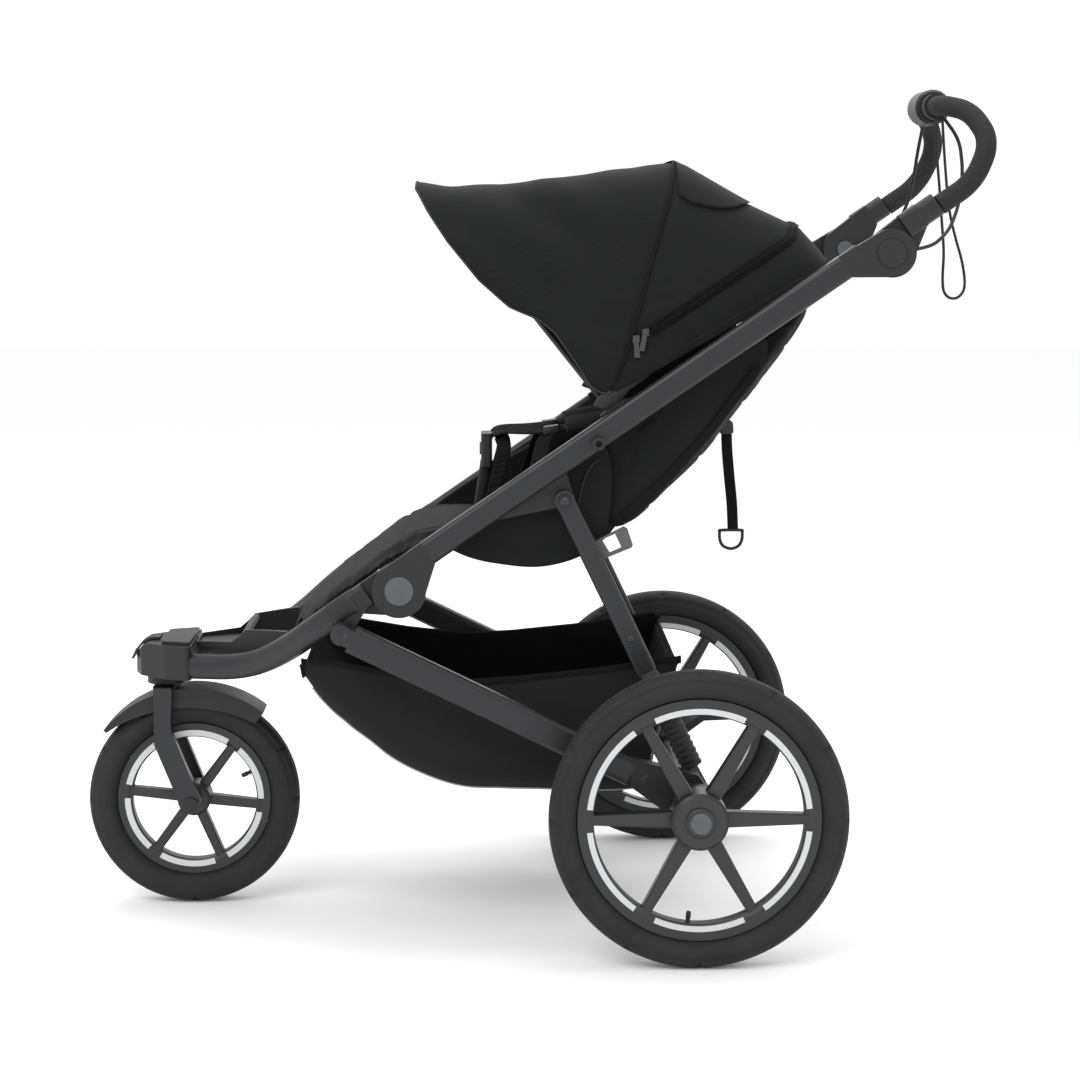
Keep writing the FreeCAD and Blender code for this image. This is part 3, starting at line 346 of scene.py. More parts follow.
def studio():
    """A pale seamless floor, a white surround and soft lights above, beside and behind."""
    bpy.context.scene.view_settings.view_transform = "Standard"
    world = bpy.data.worlds.new("studio")
    bpy.context.scene.world = world
    world.use_nodes = True
    world.node_tree.nodes["Background"].inputs["Color"].default_value = (1.0, 1.0, 1.0, 1)
    world.node_tree.nodes["Background"].inputs["Strength"].default_value = 1.04
    middle = (0.0, 0.0, 0.6)
    light("key", (-1.4, -2.2, 3.0), middle, (2.0, 1.6), 44)
    light("fill", (2.6, -2.2, 1.4), middle, (1.6, 1.6), 10)
    light("top", (0.3, 0.5, 3.2), middle, (2.6, 2.0), 44)
    light("back", (0.8, 2.8, 1.8), middle, (2.6, 1.6), 16)
    mesh = bpy.data.meshes.new("floor")
    half = 14.0
    corners = [(-half, -half, 0), (half, -half, 0), (half, half, 0), (-half, half, 0)]
    mesh.from_pydata(corners, [], [(0, 1, 2, 3)])
    floor = bpy.data.objects.new("floor", mesh)
    bpy.context.scene.collection.objects.link(floor)
    stuff = bpy.data.materials.new("floor")
    stuff.use_nodes = True
    shader = stuff.node_tree.nodes["Principled BSDF"]
    shader.inputs["Base Color"].default_value = (0.94, 0.94, 0.94, 1)
    shader.inputs["Roughness"].default_value = 1.0
    shader.inputs["Specular IOR Level"].default_value = 0.0
    mesh.materials.append(stuff)


# ---------------- shaping tools
ZERO = np.array(at(0, 0, 0))


def metres(points):
    """Drawing points in millimetres as an array of frame points in metres."""
    return ZERO + np.asarray(points, float) * MM


def piece(name, points, faces, look, body):
    """A mesh object from drawing points with its finish, riding on a body, or on none."""
    mesh = bpy.data.meshes.new(name)
    mesh.from_pydata(metres(points).tolist(), [], [list(face) for face in faces])
    mesh.validate()
    made = bpy.data.objects.new(name, mesh)
    bpy.context.scene.collection.objects.link(made)
    mesh.materials.append(LOOKS[look])
    mesh.polygons.foreach_set("use_smooth", [True] * len(mesh.polygons))
    if body:
        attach(made, body)
    return made


def grid(rows, columns, ring=False, closed=False):
    """Quads over rows x columns points; ring joins the last column to the first, closed the last row."""
    faces = []
    for i in range(rows if closed else rows - 1):
        for j in range(columns if ring else columns - 1):
            low, high, right = i * columns, (i + 1) % rows * columns, (j + 1) % columns
            faces.append((low + j, low + right, high + right, high + j))
    return faces


def capped(rows, columns):
    """Quads of a tube of closed rings with a face over each end."""
    faces = grid(rows, columns, ring=True)
    faces.append(tuple(range(columns))[::-1])
    faces.append(tuple((rows - 1) * columns + j for j in range(columns)))
    return faces


def smooth_line(points, count, closed=False):
    """A Catmull-Rom curve through the points, resampled evenly along its length."""
    points = np.asarray(points, float)
    if closed:
        points = np.vstack([points[-1], points, points[0], points[1]])
    else:
        points = np.vstack([2 * points[0] - points[1], points, 2 * points[-1] - points[-2]])
    fine = []
    for a, b, c, d in zip(points, points[1:], points[2:], points[3:]):
        for t in np.linspace(0, 1, 24, endpoint=False):
            fine.append(0.5 * (2 * b + (c - a) * t + (2 * a - 5 * b + 4 * c - d) * t * t
                               + (3 * b - a - 3 * c + d) * t ** 3))
    fine.append(points[-2])
    return even(np.array(fine), count)


def on_side(side, points, count):
    """A smooth line through points that are given for the right side, on the side asked for."""
    return smooth_line([(x, side * y, z) for x, y, z in points], count)


def even(points, count):
    """The same line with its points evenly spaced."""
    steps = np.linalg.norm(np.diff(points, axis=0), axis=1)
    run = np.concatenate([[0], np.cumsum(steps)])
    marks = np.linspace(0, run[-1], count)
    return np.stack([np.interp(marks, run, points[:, k]) for k in range(points.shape[1])], axis=1)


def along(line):
    """Unit tangents of a line."""
    tangent = np.gradient(line, axis=0)
    return tangent / np.maximum(np.linalg.norm(tangent, axis=1, keepdims=True), 1e-9)


def unit(vectors):
    return vectors / np.maximum(np.linalg.norm(vectors, axis=-1, keepdims=True), 1e-9)


def sweep(name, line, section, across, look, body):
    """Carries a closed (side, up) section along a line; across is its side direction, one or per point."""
    line = np.asarray(line, float)
    section = np.asarray(section, float)
    tangent = along(line)
    side = np.broadcast_to(np.asarray(across, float), line.shape)
    side = unit(side - tangent * np.sum(side * tangent, axis=1, keepdims=True))
    up = np.cross(tangent, side)
    rings = [point + section[:, :1] * s + section[:, 1:] * u for point, s, u in zip(line, side, up)]
    return piece(name, np.concatenate(rings), capped(len(line), len(section)), look, body)


def round_section(radius, count=10):
    angles = np.linspace(0, 2 * math.pi, count, endpoint=False)
    return [(radius * math.cos(a), radius * math.sin(a)) for a in angles]


def strap_section(width, thick, crown=0.0):
    """A flat strap's section with rounded selvedges and an optional crowned face."""
    half, edge = width / 2, thick / 2
    top = [(half * t, edge + crown * (1 - t * t)) for t in np.linspace(-0.92, 0.92, 7)]
    low = [(half * t, -edge - crown * (1 - t * t)) for t in np.linspace(0.92, -0.92, 7)]
    return [(-half, 0)] + top + [(half, 0)] + low


def tube(name, line, radius, look, body, count=10):
    line = np.asarray(line, float)
    guide = np.array([0.31, 0.87, 0.38])
    return sweep(name, line, round_section(radius, count), guide, look, body)


def lathe(name, profile, centre, axis, look, body, count=48):
    """A body turned from (radius, distance) points about an axis through the centre."""
    axis = Vector(axis).normalized()
    first = axis.orthogonal().normalized()
    second = axis.cross(first)
    rings = []
    for radius, away in profile:
        for angle in np.linspace(0, 2 * math.pi, count, endpoint=False):
            spoke = first * math.cos(angle) + second * math.sin(angle)
            rings.append(tuple(Vector(centre) + axis * away + spoke * radius))
    return piece(name, rings, capped(len(profile), count), look, body)


def finish_shape(made, levels=1, bevel=0.0, angle=35):
    """Applies a small bevel and one subdivision so that edges catch the light."""
    if bevel:
        rounding = made.modifiers.new("bevel", "BEVEL")
        rounding.width = bevel * MM
        rounding.segments = 2
        rounding.angle_limit = math.radians(angle)
    if levels:
        made.modifiers.new("subdivision", "SUBSURF").levels = levels
    apply_modifiers(made)
    made.data.polygons.foreach_set("use_smooth", [True] * len(made.data.polygons))
    return made


def evaluated_mesh(made):
    """A new mesh of the object as its modifiers shape it."""
    return bpy.data.meshes.new_from_object(made.evaluated_get(bpy.context.evaluated_depsgraph_get()))


def apply_modifiers(made):
    final = evaluated_mesh(made)
    made.modifiers.clear()
    made.data = final


def vertex_rows(mesh, key="co"):
    """The place or the normal of every vertex, one per row."""
    flat = np.empty(len(mesh.vertices) * 3)
    mesh.vertices.foreach_get(key, flat)
    return flat.reshape(-1, 3)


def swell(made, voxel, cap, pressure=4.0, frames=20):
    """Blows a closed cloth form up a little: voxel remesh, cloth pressure, and a cap on the movement."""
    remesh = made.modifiers.new("remesh", "REMESH")
    remesh.mode = "VOXEL"
    remesh.voxel_size = voxel * MM
    apply_modifiers(made)
    before = vertex_rows(made.data)
    cloth = made.modifiers.new("cloth", "CLOTH")
    cloth.settings.use_pressure = True
    cloth.settings.uniform_pressure_force = pressure
    cloth.settings.effector_weights.gravity = 0
    cloth.settings.quality = 5
    cloth.point_cache.frame_start = 1
    cloth.point_cache.frame_end = frames
    for frame_number in range(1, frames + 1):
        bpy.context.scene.frame_set(frame_number)
    move = vertex_rows(evaluated_mesh(made)) - before
    length = np.linalg.norm(move, axis=1, keepdims=True)
    limit = cap * MM
    move *= np.minimum(1.0, limit * np.tanh(length / limit) / np.maximum(length, 1e-9))
    made.modifiers.clear()
    made.data.vertices.foreach_set("co", (before + move).ravel())
    bpy.context.scene.frame_set(1)
    return finish_shape(made)


# ---------------- wrist strap
STRAP_ROUTE = [(662, -66, 1133), (664, -67, 1098), (668, -66, 1052), (673, -64, 1006), (683, -63, 966),
               (692, -64, 937), (696, -65, 915), (697, -66, 901), (695, -67, 889), (686, -67, 880),
               (675, -67, 880), (667, -67, 888), (665, -67, 900), (665, -67, 917), (667, -65, 946),
               (663, -66, 988), (659, -68, 1034), (654, -69, 1082), (652, -69, 1133)]


def wrist_strap():
    """The thin safety strap that hangs in a loop from the handlebar."""
    data = bpy.data.curves.new("wrist_strap_cord", "CURVE")
    data.dimensions = "3D"
    spline = data.splines.new("NURBS")
    spline.points.add(len(STRAP_ROUTE) - 1)
    for point, place in zip(spline.points, metres(STRAP_ROUTE)):
        point.co = (*place, 1)
    spline.order_u = 3
    spline.use_endpoint_u = True
    spline.resolution_u = 10
    data.bevel_depth = 2 * MM
    data.bevel_resolution = 4
    data.materials.append(LOOKS["cable"])
    strap = bpy.data.objects.new("wrist_strap_cord", data)
    bpy.context.scene.collection.objects.link(strap)
    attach(strap, "handle")
    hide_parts("wrist_strap")


# ---------------- canopy
CREST = [(-78, 1048), (-30, 1044), (38, 1045), (183, 1060), (278, 1074), (284, 1074), (302, 1066),
         (386, 1018), (459, 984), (488, 952), (504, 930)]
HEM = [(-78, 1036), (-61, 1004), (-34, 962), (8, 910), (50, 873), (90, 856), (112, 838), (144, 792),
       (160, 766), (172, 757), (186, 755), (228, 776), (446, 900), (504, 929)]
CANOPY_FRONT, CANOPY_REAR = -78, 504
CANOPY_HALF = 189.0
# Each arch is a superellipse that springs from this height, with this exponent.
VAULT_FLOOR = 600.0
VAULT = 4.5
# Where the cross seam runs over the roof.
SEAM_ROOF = 281.0


def crest(x):
    return np.interp(x, *zip(*CREST))


def hem(x):
    return np.interp(x, *zip(*HEM))


def vault_y(x, z):
    """Half the canopy's width at a height."""
    share = np.clip((z - VAULT_FLOOR) / (crest(x) - VAULT_FLOOR), 0, 1)
    return CANOPY_HALF * (1 - share ** VAULT) ** (1 / VAULT)


def vault_z(x, y):
    return VAULT_FLOOR + (crest(x) - VAULT_FLOOR) * (1 - abs(y / CANOPY_HALF) ** VAULT) ** (1 / VAULT)


def vault_normal(x, y, z):
    """The outward direction of the canopy's surface."""
    rise = crest(x) - VAULT_FLOOR
    slope = (crest(x + 2) - crest(x - 2)) / 4
    share = np.clip((z - VAULT_FLOOR) / rise, 1e-3, 1)
    across = np.sign(y) * (abs(y) / CANOPY_HALF) ** (VAULT - 1) / CANOPY_HALF
    up = share ** (VAULT - 1) / rise
    return unit(np.stack([-slope * share * up, across, up], axis=-1))


def vault_frame(line):
    """The outward direction along a line on the canopy, and the direction across that line."""
    normal = vault_normal(*line.T)
    return normal, np.cross(normal, along(line))


def both_sides(half_line):
    """A line that ends on the centre plane, continued by its mirror image."""
    return np.concatenate([half_line, (half_line * np.array([1, -1, 1]))[::-1][1:]])


def arch_points(x, low, count):
    """One arch of the canopy at station x, from its low edge on one side to the other."""
    start = math.asin(min(1.0, max(0.0, (low - VAULT_FLOOR) / (crest(x) - VAULT_FLOOR))) ** (VAULT / 2))
    angle = np.linspace(start, math.pi - start, 400)
    y = CANOPY_HALF * np.sign(np.cos(angle)) * abs(np.cos(angle)) ** (2 / VAULT)
    z = VAULT_FLOOR + (crest(x) - VAULT_FLOOR) * np.sin(angle) ** (2 / VAULT)
    return even(np.stack([np.full_like(y, x), -y, z], axis=1), count)


def shell(name, sheet, normals, thick, look, body):
    """A closed cloth shell of a given thickness below a rows x columns x 3 sheet of points."""
    rows, columns, _ = sheet.shape
    top = sheet.reshape(-1, 3)
    low = (sheet - normals * thick).reshape(-1, 3)
    faces = grid(rows, columns)
    shift = rows * columns
    faces += [tuple(shift + index for index in face[::-1]) for face in faces]
    edge = list(range(columns)) + [i * columns + columns - 1 for i in range(1, rows)]
    edge += [(rows - 1) * columns + j for j in range(columns - 2, -1, -1)]
    edge += [i * columns for i in range(rows - 2, 0, -1)]
    faces += [(b, a, a + shift, b + shift) for a, b in zip(edge, edge[1:] + edge[:1])]
    return piece(name, np.concatenate([top, low]), faces, look, body)


def sheet_normals(sheet):
    along_rows = np.gradient(sheet, axis=0)
    across = np.gradient(sheet, axis=1)
    return unit(np.cross(along_rows, across))


def seam_x(z):
    """Where the canopy's cross seam lies at a height."""
    return np.interp(z, [752, 805, 880, 940, 1020, 1075], [187, 208, 230, 246, 270, 281])


def noise_at(points, scale, offset=0.0):
    return np.array([noise.noise(Vector((x * scale[0] + offset, y * scale[1], z * scale[2])))
                     for x, y, z in points.reshape(-1, 3)]).reshape(points.shape[:-1])


def crumple(sheet):
    """Soft pulls in the cloth: long folds fan down from the cross seam, with slack cloth behind it."""
    x, y, z = sheet[..., 0], sheet[..., 1], sheet[..., 2]
    turned = np.stack([x * 0.8 - z * 0.6, y, x * 0.6 + z * 0.8], axis=-1)
    folds = (noise_at(turned, (0.004, 0.006, 0.018), 3.0) * 7.0
             + noise_at(turned, (0.012, 0.012, 0.04), 9.0) * 0.9)
    slack = noise_at(sheet, (0.010, 0.008, 0.010), 17.0) * 3.0
    front = np.clip((seam_x(z) - x) / 60, 0, 1)
    away = np.clip((x - CANOPY_FRONT) / 40, 0.25, 1)
    return (front * folds + (1 - front) * slack) * away - 1.4


def blend_canopy(made):
    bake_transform(made)


def canopy():
    stations = np.concatenate([np.linspace(CANOPY_FRONT, 276, 90), np.linspace(279, CANOPY_REAR, 62)])
    sheet = np.stack([arch_points(x, hem(x), 91) for x in stations])
    normals = sheet_normals(sheet)
    seam = np.exp(-((sheet[..., 0] - seam_x(sheet[..., 2])) / 3.2) ** 2)
    lap = 1 / (1 + np.exp(-(sheet[..., 0] - seam_x(sheet[..., 2])) / 1.6)) - 1
    sheet = sheet + normals * (crumple(sheet) - 1.1 * seam + 0.8 * lap)[..., None]
    cover = shell("canopy_cover", sheet, normals, 2.2, "cloth", None)
    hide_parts("canopy")
    count = sum(1 for x in stations if x <= 190)
    rim = np.concatenate([sheet[count:0:-1, 0], sheet[0, :], sheet[1:count, -1]])
    edging = tube("canopy_edging", even(rim, 260), 1.3, "piping", None, count=8)
    for name, column in (("left", 0), ("right", -1)):
        line = even(sheet[count:, column] + normals[count:, column] * 0.6, 70)
        _, across = vault_frame(line)
        sweep(f"canopy_side_binding_{name}", line + np.array([0, 0, 4.0]), strap_section(11, 1.6), across,
              "cloth", "upper_frame")
    rise = np.linspace(758, 1071, 90)
    seam_line = np.stack([seam_x(rise), vault_y(seam_x(rise), rise), rise], axis=1)
    over_y = np.linspace(seam_line[-1, 1], 0, 40)[1:]
    seam_top = np.stack([np.full_like(over_y, SEAM_ROOF), over_y, vault_z(SEAM_ROOF, over_y)], axis=1)
    seam_line = even(both_sides(np.concatenate([seam_line, seam_top])), 300)
    normal, across = vault_frame(seam_line)
    sweep("canopy_seam", seam_line - normal * 0.3, strap_section(3.0, 1.6), across, "cloth_dark",
          "upper_frame")
    flap_x = np.linspace(283, 389, 40)
    drop = np.interp(flap_x, [283, 300, 322, 341, 360, 378, 389],
                     [1025, 1014, 1008, 1005.5, 1007, 1012, 1015])
    flap = np.stack([arch_points(x, low, 71) for x, low in zip(flap_x, drop)])
    flap_normals = sheet_normals(flap)
    ends = abs(np.linspace(-1, 1, 71))[None, :] ** 6
    lift = 1.6 + 2.6 * ends * np.sin(np.linspace(0, math.pi, 40))[:, None] ** 0.5
    flap = flap + flap_normals * (lift + noise_at(flap, (0.02, 0.01, 0.02), 5.0) * 0.6)[..., None]
    made = shell("window_flap", flap, flap_normals, 1.6, "cloth", "upper_frame")
    climb = np.linspace(830, 968, 60)
    side_x = 228 + (climb - 830) * 212 / 138
    side = np.stack([side_x, vault_y(side_x, climb), climb], axis=1)
    over_y = np.linspace(side[-1, 1], 0, 40)[1:]
    over_x = 440 + 17 * (1 - (over_y / side[-1, 1]) ** 2)
    over = np.stack([over_x, over_y, vault_z(over_x, over_y)], axis=1)
    line = even(smooth_line(both_sides(np.concatenate([side, over]))[::6], 240), 240)
    normal, across = vault_frame(line)
    sweep("zipper_tape", line + normal * 0.5, strap_section(14, 1.4), across, "zipper", "upper_frame")
    sweep("zipper_coil", line + normal * 1.3, strap_section(4.4, 1.2), across, "coil", "upper_frame")
    for name, side in SIDES.items():
        for index, (x, z, lean) in enumerate(((222, 828, 0.12), (235, 837, -0.25))):
            y = side * float(vault_y(x, z))
            out = side * 2.4
            slider = [(x - 4, z + 6), (x + 5, z + 7), (x + 5.5, z - 3), (x - 4.5, z - 4)]
            rounded_block(f"zipper_slider_{name}_{index}", slider, y, y + out * 1.6, "metal_grey",
                          "upper_frame")
            pull = [(x - 3.4 + lean * 4, z - 3), (x + 3.4 + lean * 4, z - 3), (x + 4.2 + lean * 20, z - 24),
                    (x - 4.2 + lean * 20, z - 24)]
            rounded_block(f"zipper_pull_{name}_{index}", pull, y + out * 0.7, y + out * 1.5, "metal_grey",
                          "upper_frame")
    for name, side in SIDES.items():
        arm = [(164, 738), (172, 752), (196, 764), (238, 788), (242, 780), (214, 760), (198, 740),
               (186, 730)]
        rounded_block(f"canopy_clamp_{name}", arm, side * 182, side * 187.5, "casting", "upper_frame",
                      bevel=1.5)
    for made in (cover, edging):
        blend_canopy(made)


def rounded_block(name, outline, y_low, y_high, look, body, bevel=0.8):
    """A plate with an (x, z) outline between two y values, its edges rounded."""
    count = len(outline)
    low, high = min(y_low, y_high), max(y_low, y_high)
    turn = sum((b[0] - a[0]) * (b[1] + a[1]) for a, b in zip(outline, outline[1:] + outline[:1]))
    outline = outline if turn < 0 else outline[::-1]
    points = [(x, low, z) for x, z in outline] + [(x, high, z) for x, z in outline]
    faces = [tuple(range(count)), tuple(range(2 * count - 1, count - 1, -1))]
    faces += [(a, a + count, (a + 1) % count + count, (a + 1) % count) for a in range(count)]
    made = piece(name, points, faces, look, body)
    return finish_shape(made, 0, bevel, 20)


# ---------------- seat, backrest and harness
SEAT_TOP = [(-256, 424), (-230, 441), (-196, 475), (-150, 510), (-106, 542), (-66, 558), (0, 562),
            (90, 545), (168, 560)]
SEAT_UNDER = [(-254, 415), (-236, 426), (-210, 446), (-158, 488), (-108, 527), (-60, 547), (-34, 546),
              (-10, 530), (92, 517), (176, 552)]
BACK_FRONT = [(182, 578), (200, 590), (248, 637), (302, 692), (350, 752), (398, 814), (440, 872),
              (458, 898)]
BACK_REAR = [(186, 566), (216, 573), (262, 615), (318, 669), (362, 724), (408, 784), (456, 852), (474, 884)]


def slab(name, under, over, half, look, body, inset=3.0, stations=44, ring=40, corner=0.35):
    """A closed cushion between two (x, z) lines, its ends and sides drawn in, half wide(x) to each side."""
    low = smooth_line([(x, 0, z) for x, z in under], stations)
    high = smooth_line([(x, 0, z) for x, z in over], stations)
    rings = []
    for index, (a, b) in enumerate(zip(low, high)):
        middle = (a + b) / 2
        share = index / (stations - 1)
        end = min(1.0, (min(share, 1 - share) * stations / 2.5 + 0.25)) ** 0.5
        thick = np.linalg.norm(b - a)
        squeeze = max(0.15, (thick - inset) / thick) * end
        wide = (half(middle[0]) - inset) * (0.97 + 0.03 * end)
        for angle in np.linspace(0, 2 * math.pi, ring, endpoint=False):
            y = wide * math.copysign(abs(math.cos(angle)) ** corner, math.cos(angle))
            lift = math.copysign(abs(math.sin(angle)) ** 0.7, math.sin(angle)) * squeeze
            rings.append(middle + (b - a) / 2 * lift + np.array([0, y, 0]))
    return piece(name, rings, capped(stations, ring), look, body)


def panel(name, outline, y, belly, thick, look, body, rings=14, count=96):
    """A closed sheet with a smooth (x, z) outline, bellied outwards between its edges."""
    edge = smooth_line([(x, 0, z) for x, z in outline], count + 1, closed=True)[:-1]
    centre = edge.mean(axis=0)
    side = math.copysign(1, y)
    points, faces = [], []
    shares = np.linspace(1, 0.04, rings)
    for shift in (0.0, -thick):
        for share in shares:
            spots = centre + (edge - centre) * share
            out = y + side * (belly * (1 - share ** 2) + shift)
            points += [(spot[0], out, spot[2]) for spot in spots]
    face_set = grid(rings, count, ring=True)
    total = rings * count
    outer = [face if side < 0 else face[::-1] for face in face_set]
    faces = outer + [tuple(index + total for index in face[::-1]) for face in outer]
    for base, flip in ((total - count, False), (2 * total - count, True)):
        cap = tuple(base + j for j in range(count))
        faces.append(cap[::-1] if flip == (side < 0) else cap)
    faces += [(j, (j + 1) % count, (j + 1) % count + total, j + total) for j in range(count)]
    made = piece(name, points, faces, look, body)
    recalculate(made)
    return made


def recalculate(made):
    """Points every face of a closed piece outwards."""
    work = bmesh.new()
    work.from_mesh(made.data)
    bmesh.ops.recalc_face_normals(work, faces=work.faces)
    work.to_mesh(made.data)
    work.free()


def press(made, depth_at):
    """Moves each point of a finished piece inwards along its normal by depth_at(drawing points)."""
    places = vertex_rows(made.data)
    normals = vertex_rows(made.data, "normal")
    depth = depth_at((places - ZERO) / MM, normals)
    made.data.vertices.foreach_set("co", (places - normals * depth[:, None] * MM).ravel())
    made.data.update()


def stitched(distance, depth=2.2, wide=3.2):
    """A pulled-in seam at zero distance."""
    return depth * np.exp(-(distance / wide) ** 2)


def seat():
    half = lambda x: float(np.interp(x, [-262, -200, -150, -100], [114, 154, 178, 179]))
    pad = slab("seat_pad", SEAT_UNDER, SEAT_TOP, half, "cloth", None, inset=4.0)
    swell(pad, 6.0, 5.0)

    def seams(points, normals):
        x, y = points[:, 0], abs(points[:, 1])
        top = np.clip(normals[:, 2] * 2, 0, 1)
        knee = stitched(x + 98) + stitched(x + 170, 1.6) + stitched(x - 120, 1.6)
        sides = stitched(y - 120) * (x > -98)
        slot = stitched(x - 6, 2.4, 2.6) * (y < 24)
        return top * np.maximum(np.maximum(knee, sides), slot)
    press(pad, seams)
    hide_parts("seat_shell")
    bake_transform(pad)
    wall = [(-58, 556), (2, 598), (96, 653), (150, 684), (176, 692), (190, 644), (182, 566), (150, 532),
            (92, 516), (30, 521), (-10, 531), (-40, 546)]
    for name, side in SIDES.items():
        made = panel(f"seat_side_{name}", wall, side * 180.5, 3.0, 2.4, "cloth", "upper_frame")
        lip = on_side(side, [(-58, 181, 556), (2, 181, 598), (96, 181, 653), (166, 181, 690)], 40)
        tube(f"seat_side_edge_{name}", lip, 2.2, "piping", "upper_frame", count=8)
        arc = [(143, 600), (147, 615), (151, 632), (157, 648), (164, 658), (172, 664)]
        line = smooth_line([(x, side * 184.6, z) for x, z in arc], 40)
        tube(f"seat_piping_{name}", line, 1.0, "piping", "upper_frame", count=8)


def backrest():
    half = lambda x: float(np.interp(x, [186, 400, 474], [171, 171, 147]))
    pad = slab("backrest_pad", BACK_REAR, BACK_FRONT, half, "cloth", "backrest", inset=4.0, corner=0.25)
    swell(pad, 7.0, 7.0)

    def seams(points, normals):
        y = abs(points[:, 1])
        up = points[:, 2] * 0.64 + points[:, 0] * 0.77
        face = np.clip(abs(normals[:, 2] * 0.64 - normals[:, 0] * 0.77) * 1.6, 0, 1)
        return face * np.maximum(stitched(y - 118), stitched((up - 620) % 95 - 47, 1.6))
    press(pad, seams)
    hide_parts("backrest_shell")
    wing = [(182, 600), (190, 572), (218, 578), (262, 620), (316, 679), (358, 732), (396, 784), (404, 828),
            (360, 828), (270, 773), (214, 734), (186, 690)]
    for name, side in SIDES.items():
        made = panel(f"backrest_wing_{name}", wing, side * 166.5, 4.0, 2.6, "cloth", "backrest")
        press(made, lambda points, normals: 1.4 * np.sin(points[:, 0] * 0.05 - points[:, 2] * 0.03)
              * np.exp(-((points[:, 0] * 0.7 - points[:, 2] * 0.72 + 290) / 60) ** 2))
        slit = on_side(side, [(228, 171.2, 700), (236, 171.6, 707), (250, 171.6, 717)], 24)
        sweep(f"vent_slit_{name}", slit, strap_section(5, 1.2), (0.6, 0, -0.75), "cloth_dark",
              "backrest")
        crease = on_side(side, [(206, 170.5, 584), (262, 170.5, 634), (316, 170.5, 690),
                                (358, 170.5, 744), (392, 170.5, 790)], 60)
        sweep(f"backrest_binding_{name}", crease, strap_section(12, 1.6), (0.72, 0, -0.69), "cloth_dark",
              "backrest")


def recline_strap():
    """The webbing strap with its buckle and D-ring that hangs behind the backrest."""
    line = smooth_line([(366.5, 0, 690), (367.5, 0, 660), (371, 0, 620), (375, 0, 580), (376.8, 0, 541)], 40)
    strap = sweep("recline_webbing", line, strap_section(15.6, 2.4), (1, 0, 0), "webbing", "backrest")
    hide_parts("recline_strap")
    keeper = [(348, 704), (354, 712), (362, 710), (375, 699), (376, 684), (370, 682), (358, 682),
              (349, 694)]
    buckle = rounded_block("recline_buckle", keeper, -12.5, 12.5, "casting", "backrest", bevel=2.2)
    ring = [(359, 0, 541), (389, 0, 541), (390.5, 0, 538), (390, 0, 527), (385, 0, 518), (374, 0, 514),
            (363, 0, 518), (358, 0, 527), (357.5, 0, 538)]
    loop = smooth_line(ring, 65, closed=True)[:-1]
    section = np.array(round_section(2.3, 12))
    tangent = unit(np.roll(loop, -1, axis=0) - np.roll(loop, 1, axis=0))
    outward = np.cross(tangent, [0, 1, 0])
    rings = [point + section[:, :1] * np.array([0, 1, 0]) + section[:, 1:] * out
             for point, out in zip(loop, outward)]
    made = piece("recline_ring", np.concatenate(rings), grid(len(loop), 12, ring=True, closed=True),
                 "casting", "backrest")
    recalculate(made)
    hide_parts("recline_buckle_and_ring")


def harness():
    """The fastened five-point harness: crotch pad, lap, hip and shoulder webbing, shoulder pads."""
    crotch = smooth_line([(8, 0, 560), (11, 0, 590), (16, 0, 622), (19, 0, 644)], 24)
    pad = sweep("crotch_pad", crotch, strap_section(38, 11, 3.5), (0, 1, 0), "webbing_pad", "upper_frame")
    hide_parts("harness_straps")
    for name, side in SIDES.items():
        top = on_side(side, [(27, 12, 682), (40, 22, 689), (80, 38, 690), (112, 48, 693), (150, 52, 702),
                             (232, 62, 718), (290, 66, 716), (322, 68, 722)], 70)
        shoulder = sweep(f"shoulder_webbing_{name}", top, strap_section(24, 2.0), (0, 1, 0.25),
                         "webbing", None)
        sleeve = on_side(side, [(132, 50, 699), (165, 54, 706), (232, 62, 718), (262, 64, 719)], 36)
        pad = sweep(f"shoulder_pad_{name}", sleeve, strap_section(46, 12, 3.0), (0, 1, 0.2),
                    "webbing_pad", None)
        finish_shape(pad)
        for made in (shoulder, pad):
            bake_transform(made)
        hip = on_side(side, [(108, 50, 691), (100, 70, 678), (92, 104, 652), (84, 136, 618),
                             (78, 158, 580), (76, 166, 556)], 40)
        sweep(f"hip_webbing_{name}", hip, strap_section(24, 2.0), (1, 0, 0.35), "webbing", "upper_frame")
        lap = on_side(side, [(40, 20, 680), (44, 28, 664), (36, 34, 630), (28, 38, 596),
                             (24, 38, 562)], 36)
        sweep(f"lap_webbing_{name}", lap, strap_section(20, 2.0), (1, 0, 0.2), "webbing", "upper_frame")
        slider = [(100, 686), (100, 697), (122, 700), (122, 689)]
        rounded_block(f"strap_slider_{name}", slider, side * 34, side * 62, "casting", "upper_frame",
                      bevel=1.6)


# ---------------- basket
BASKET_HALF = 180.0
BASKET_STATIONS = 84


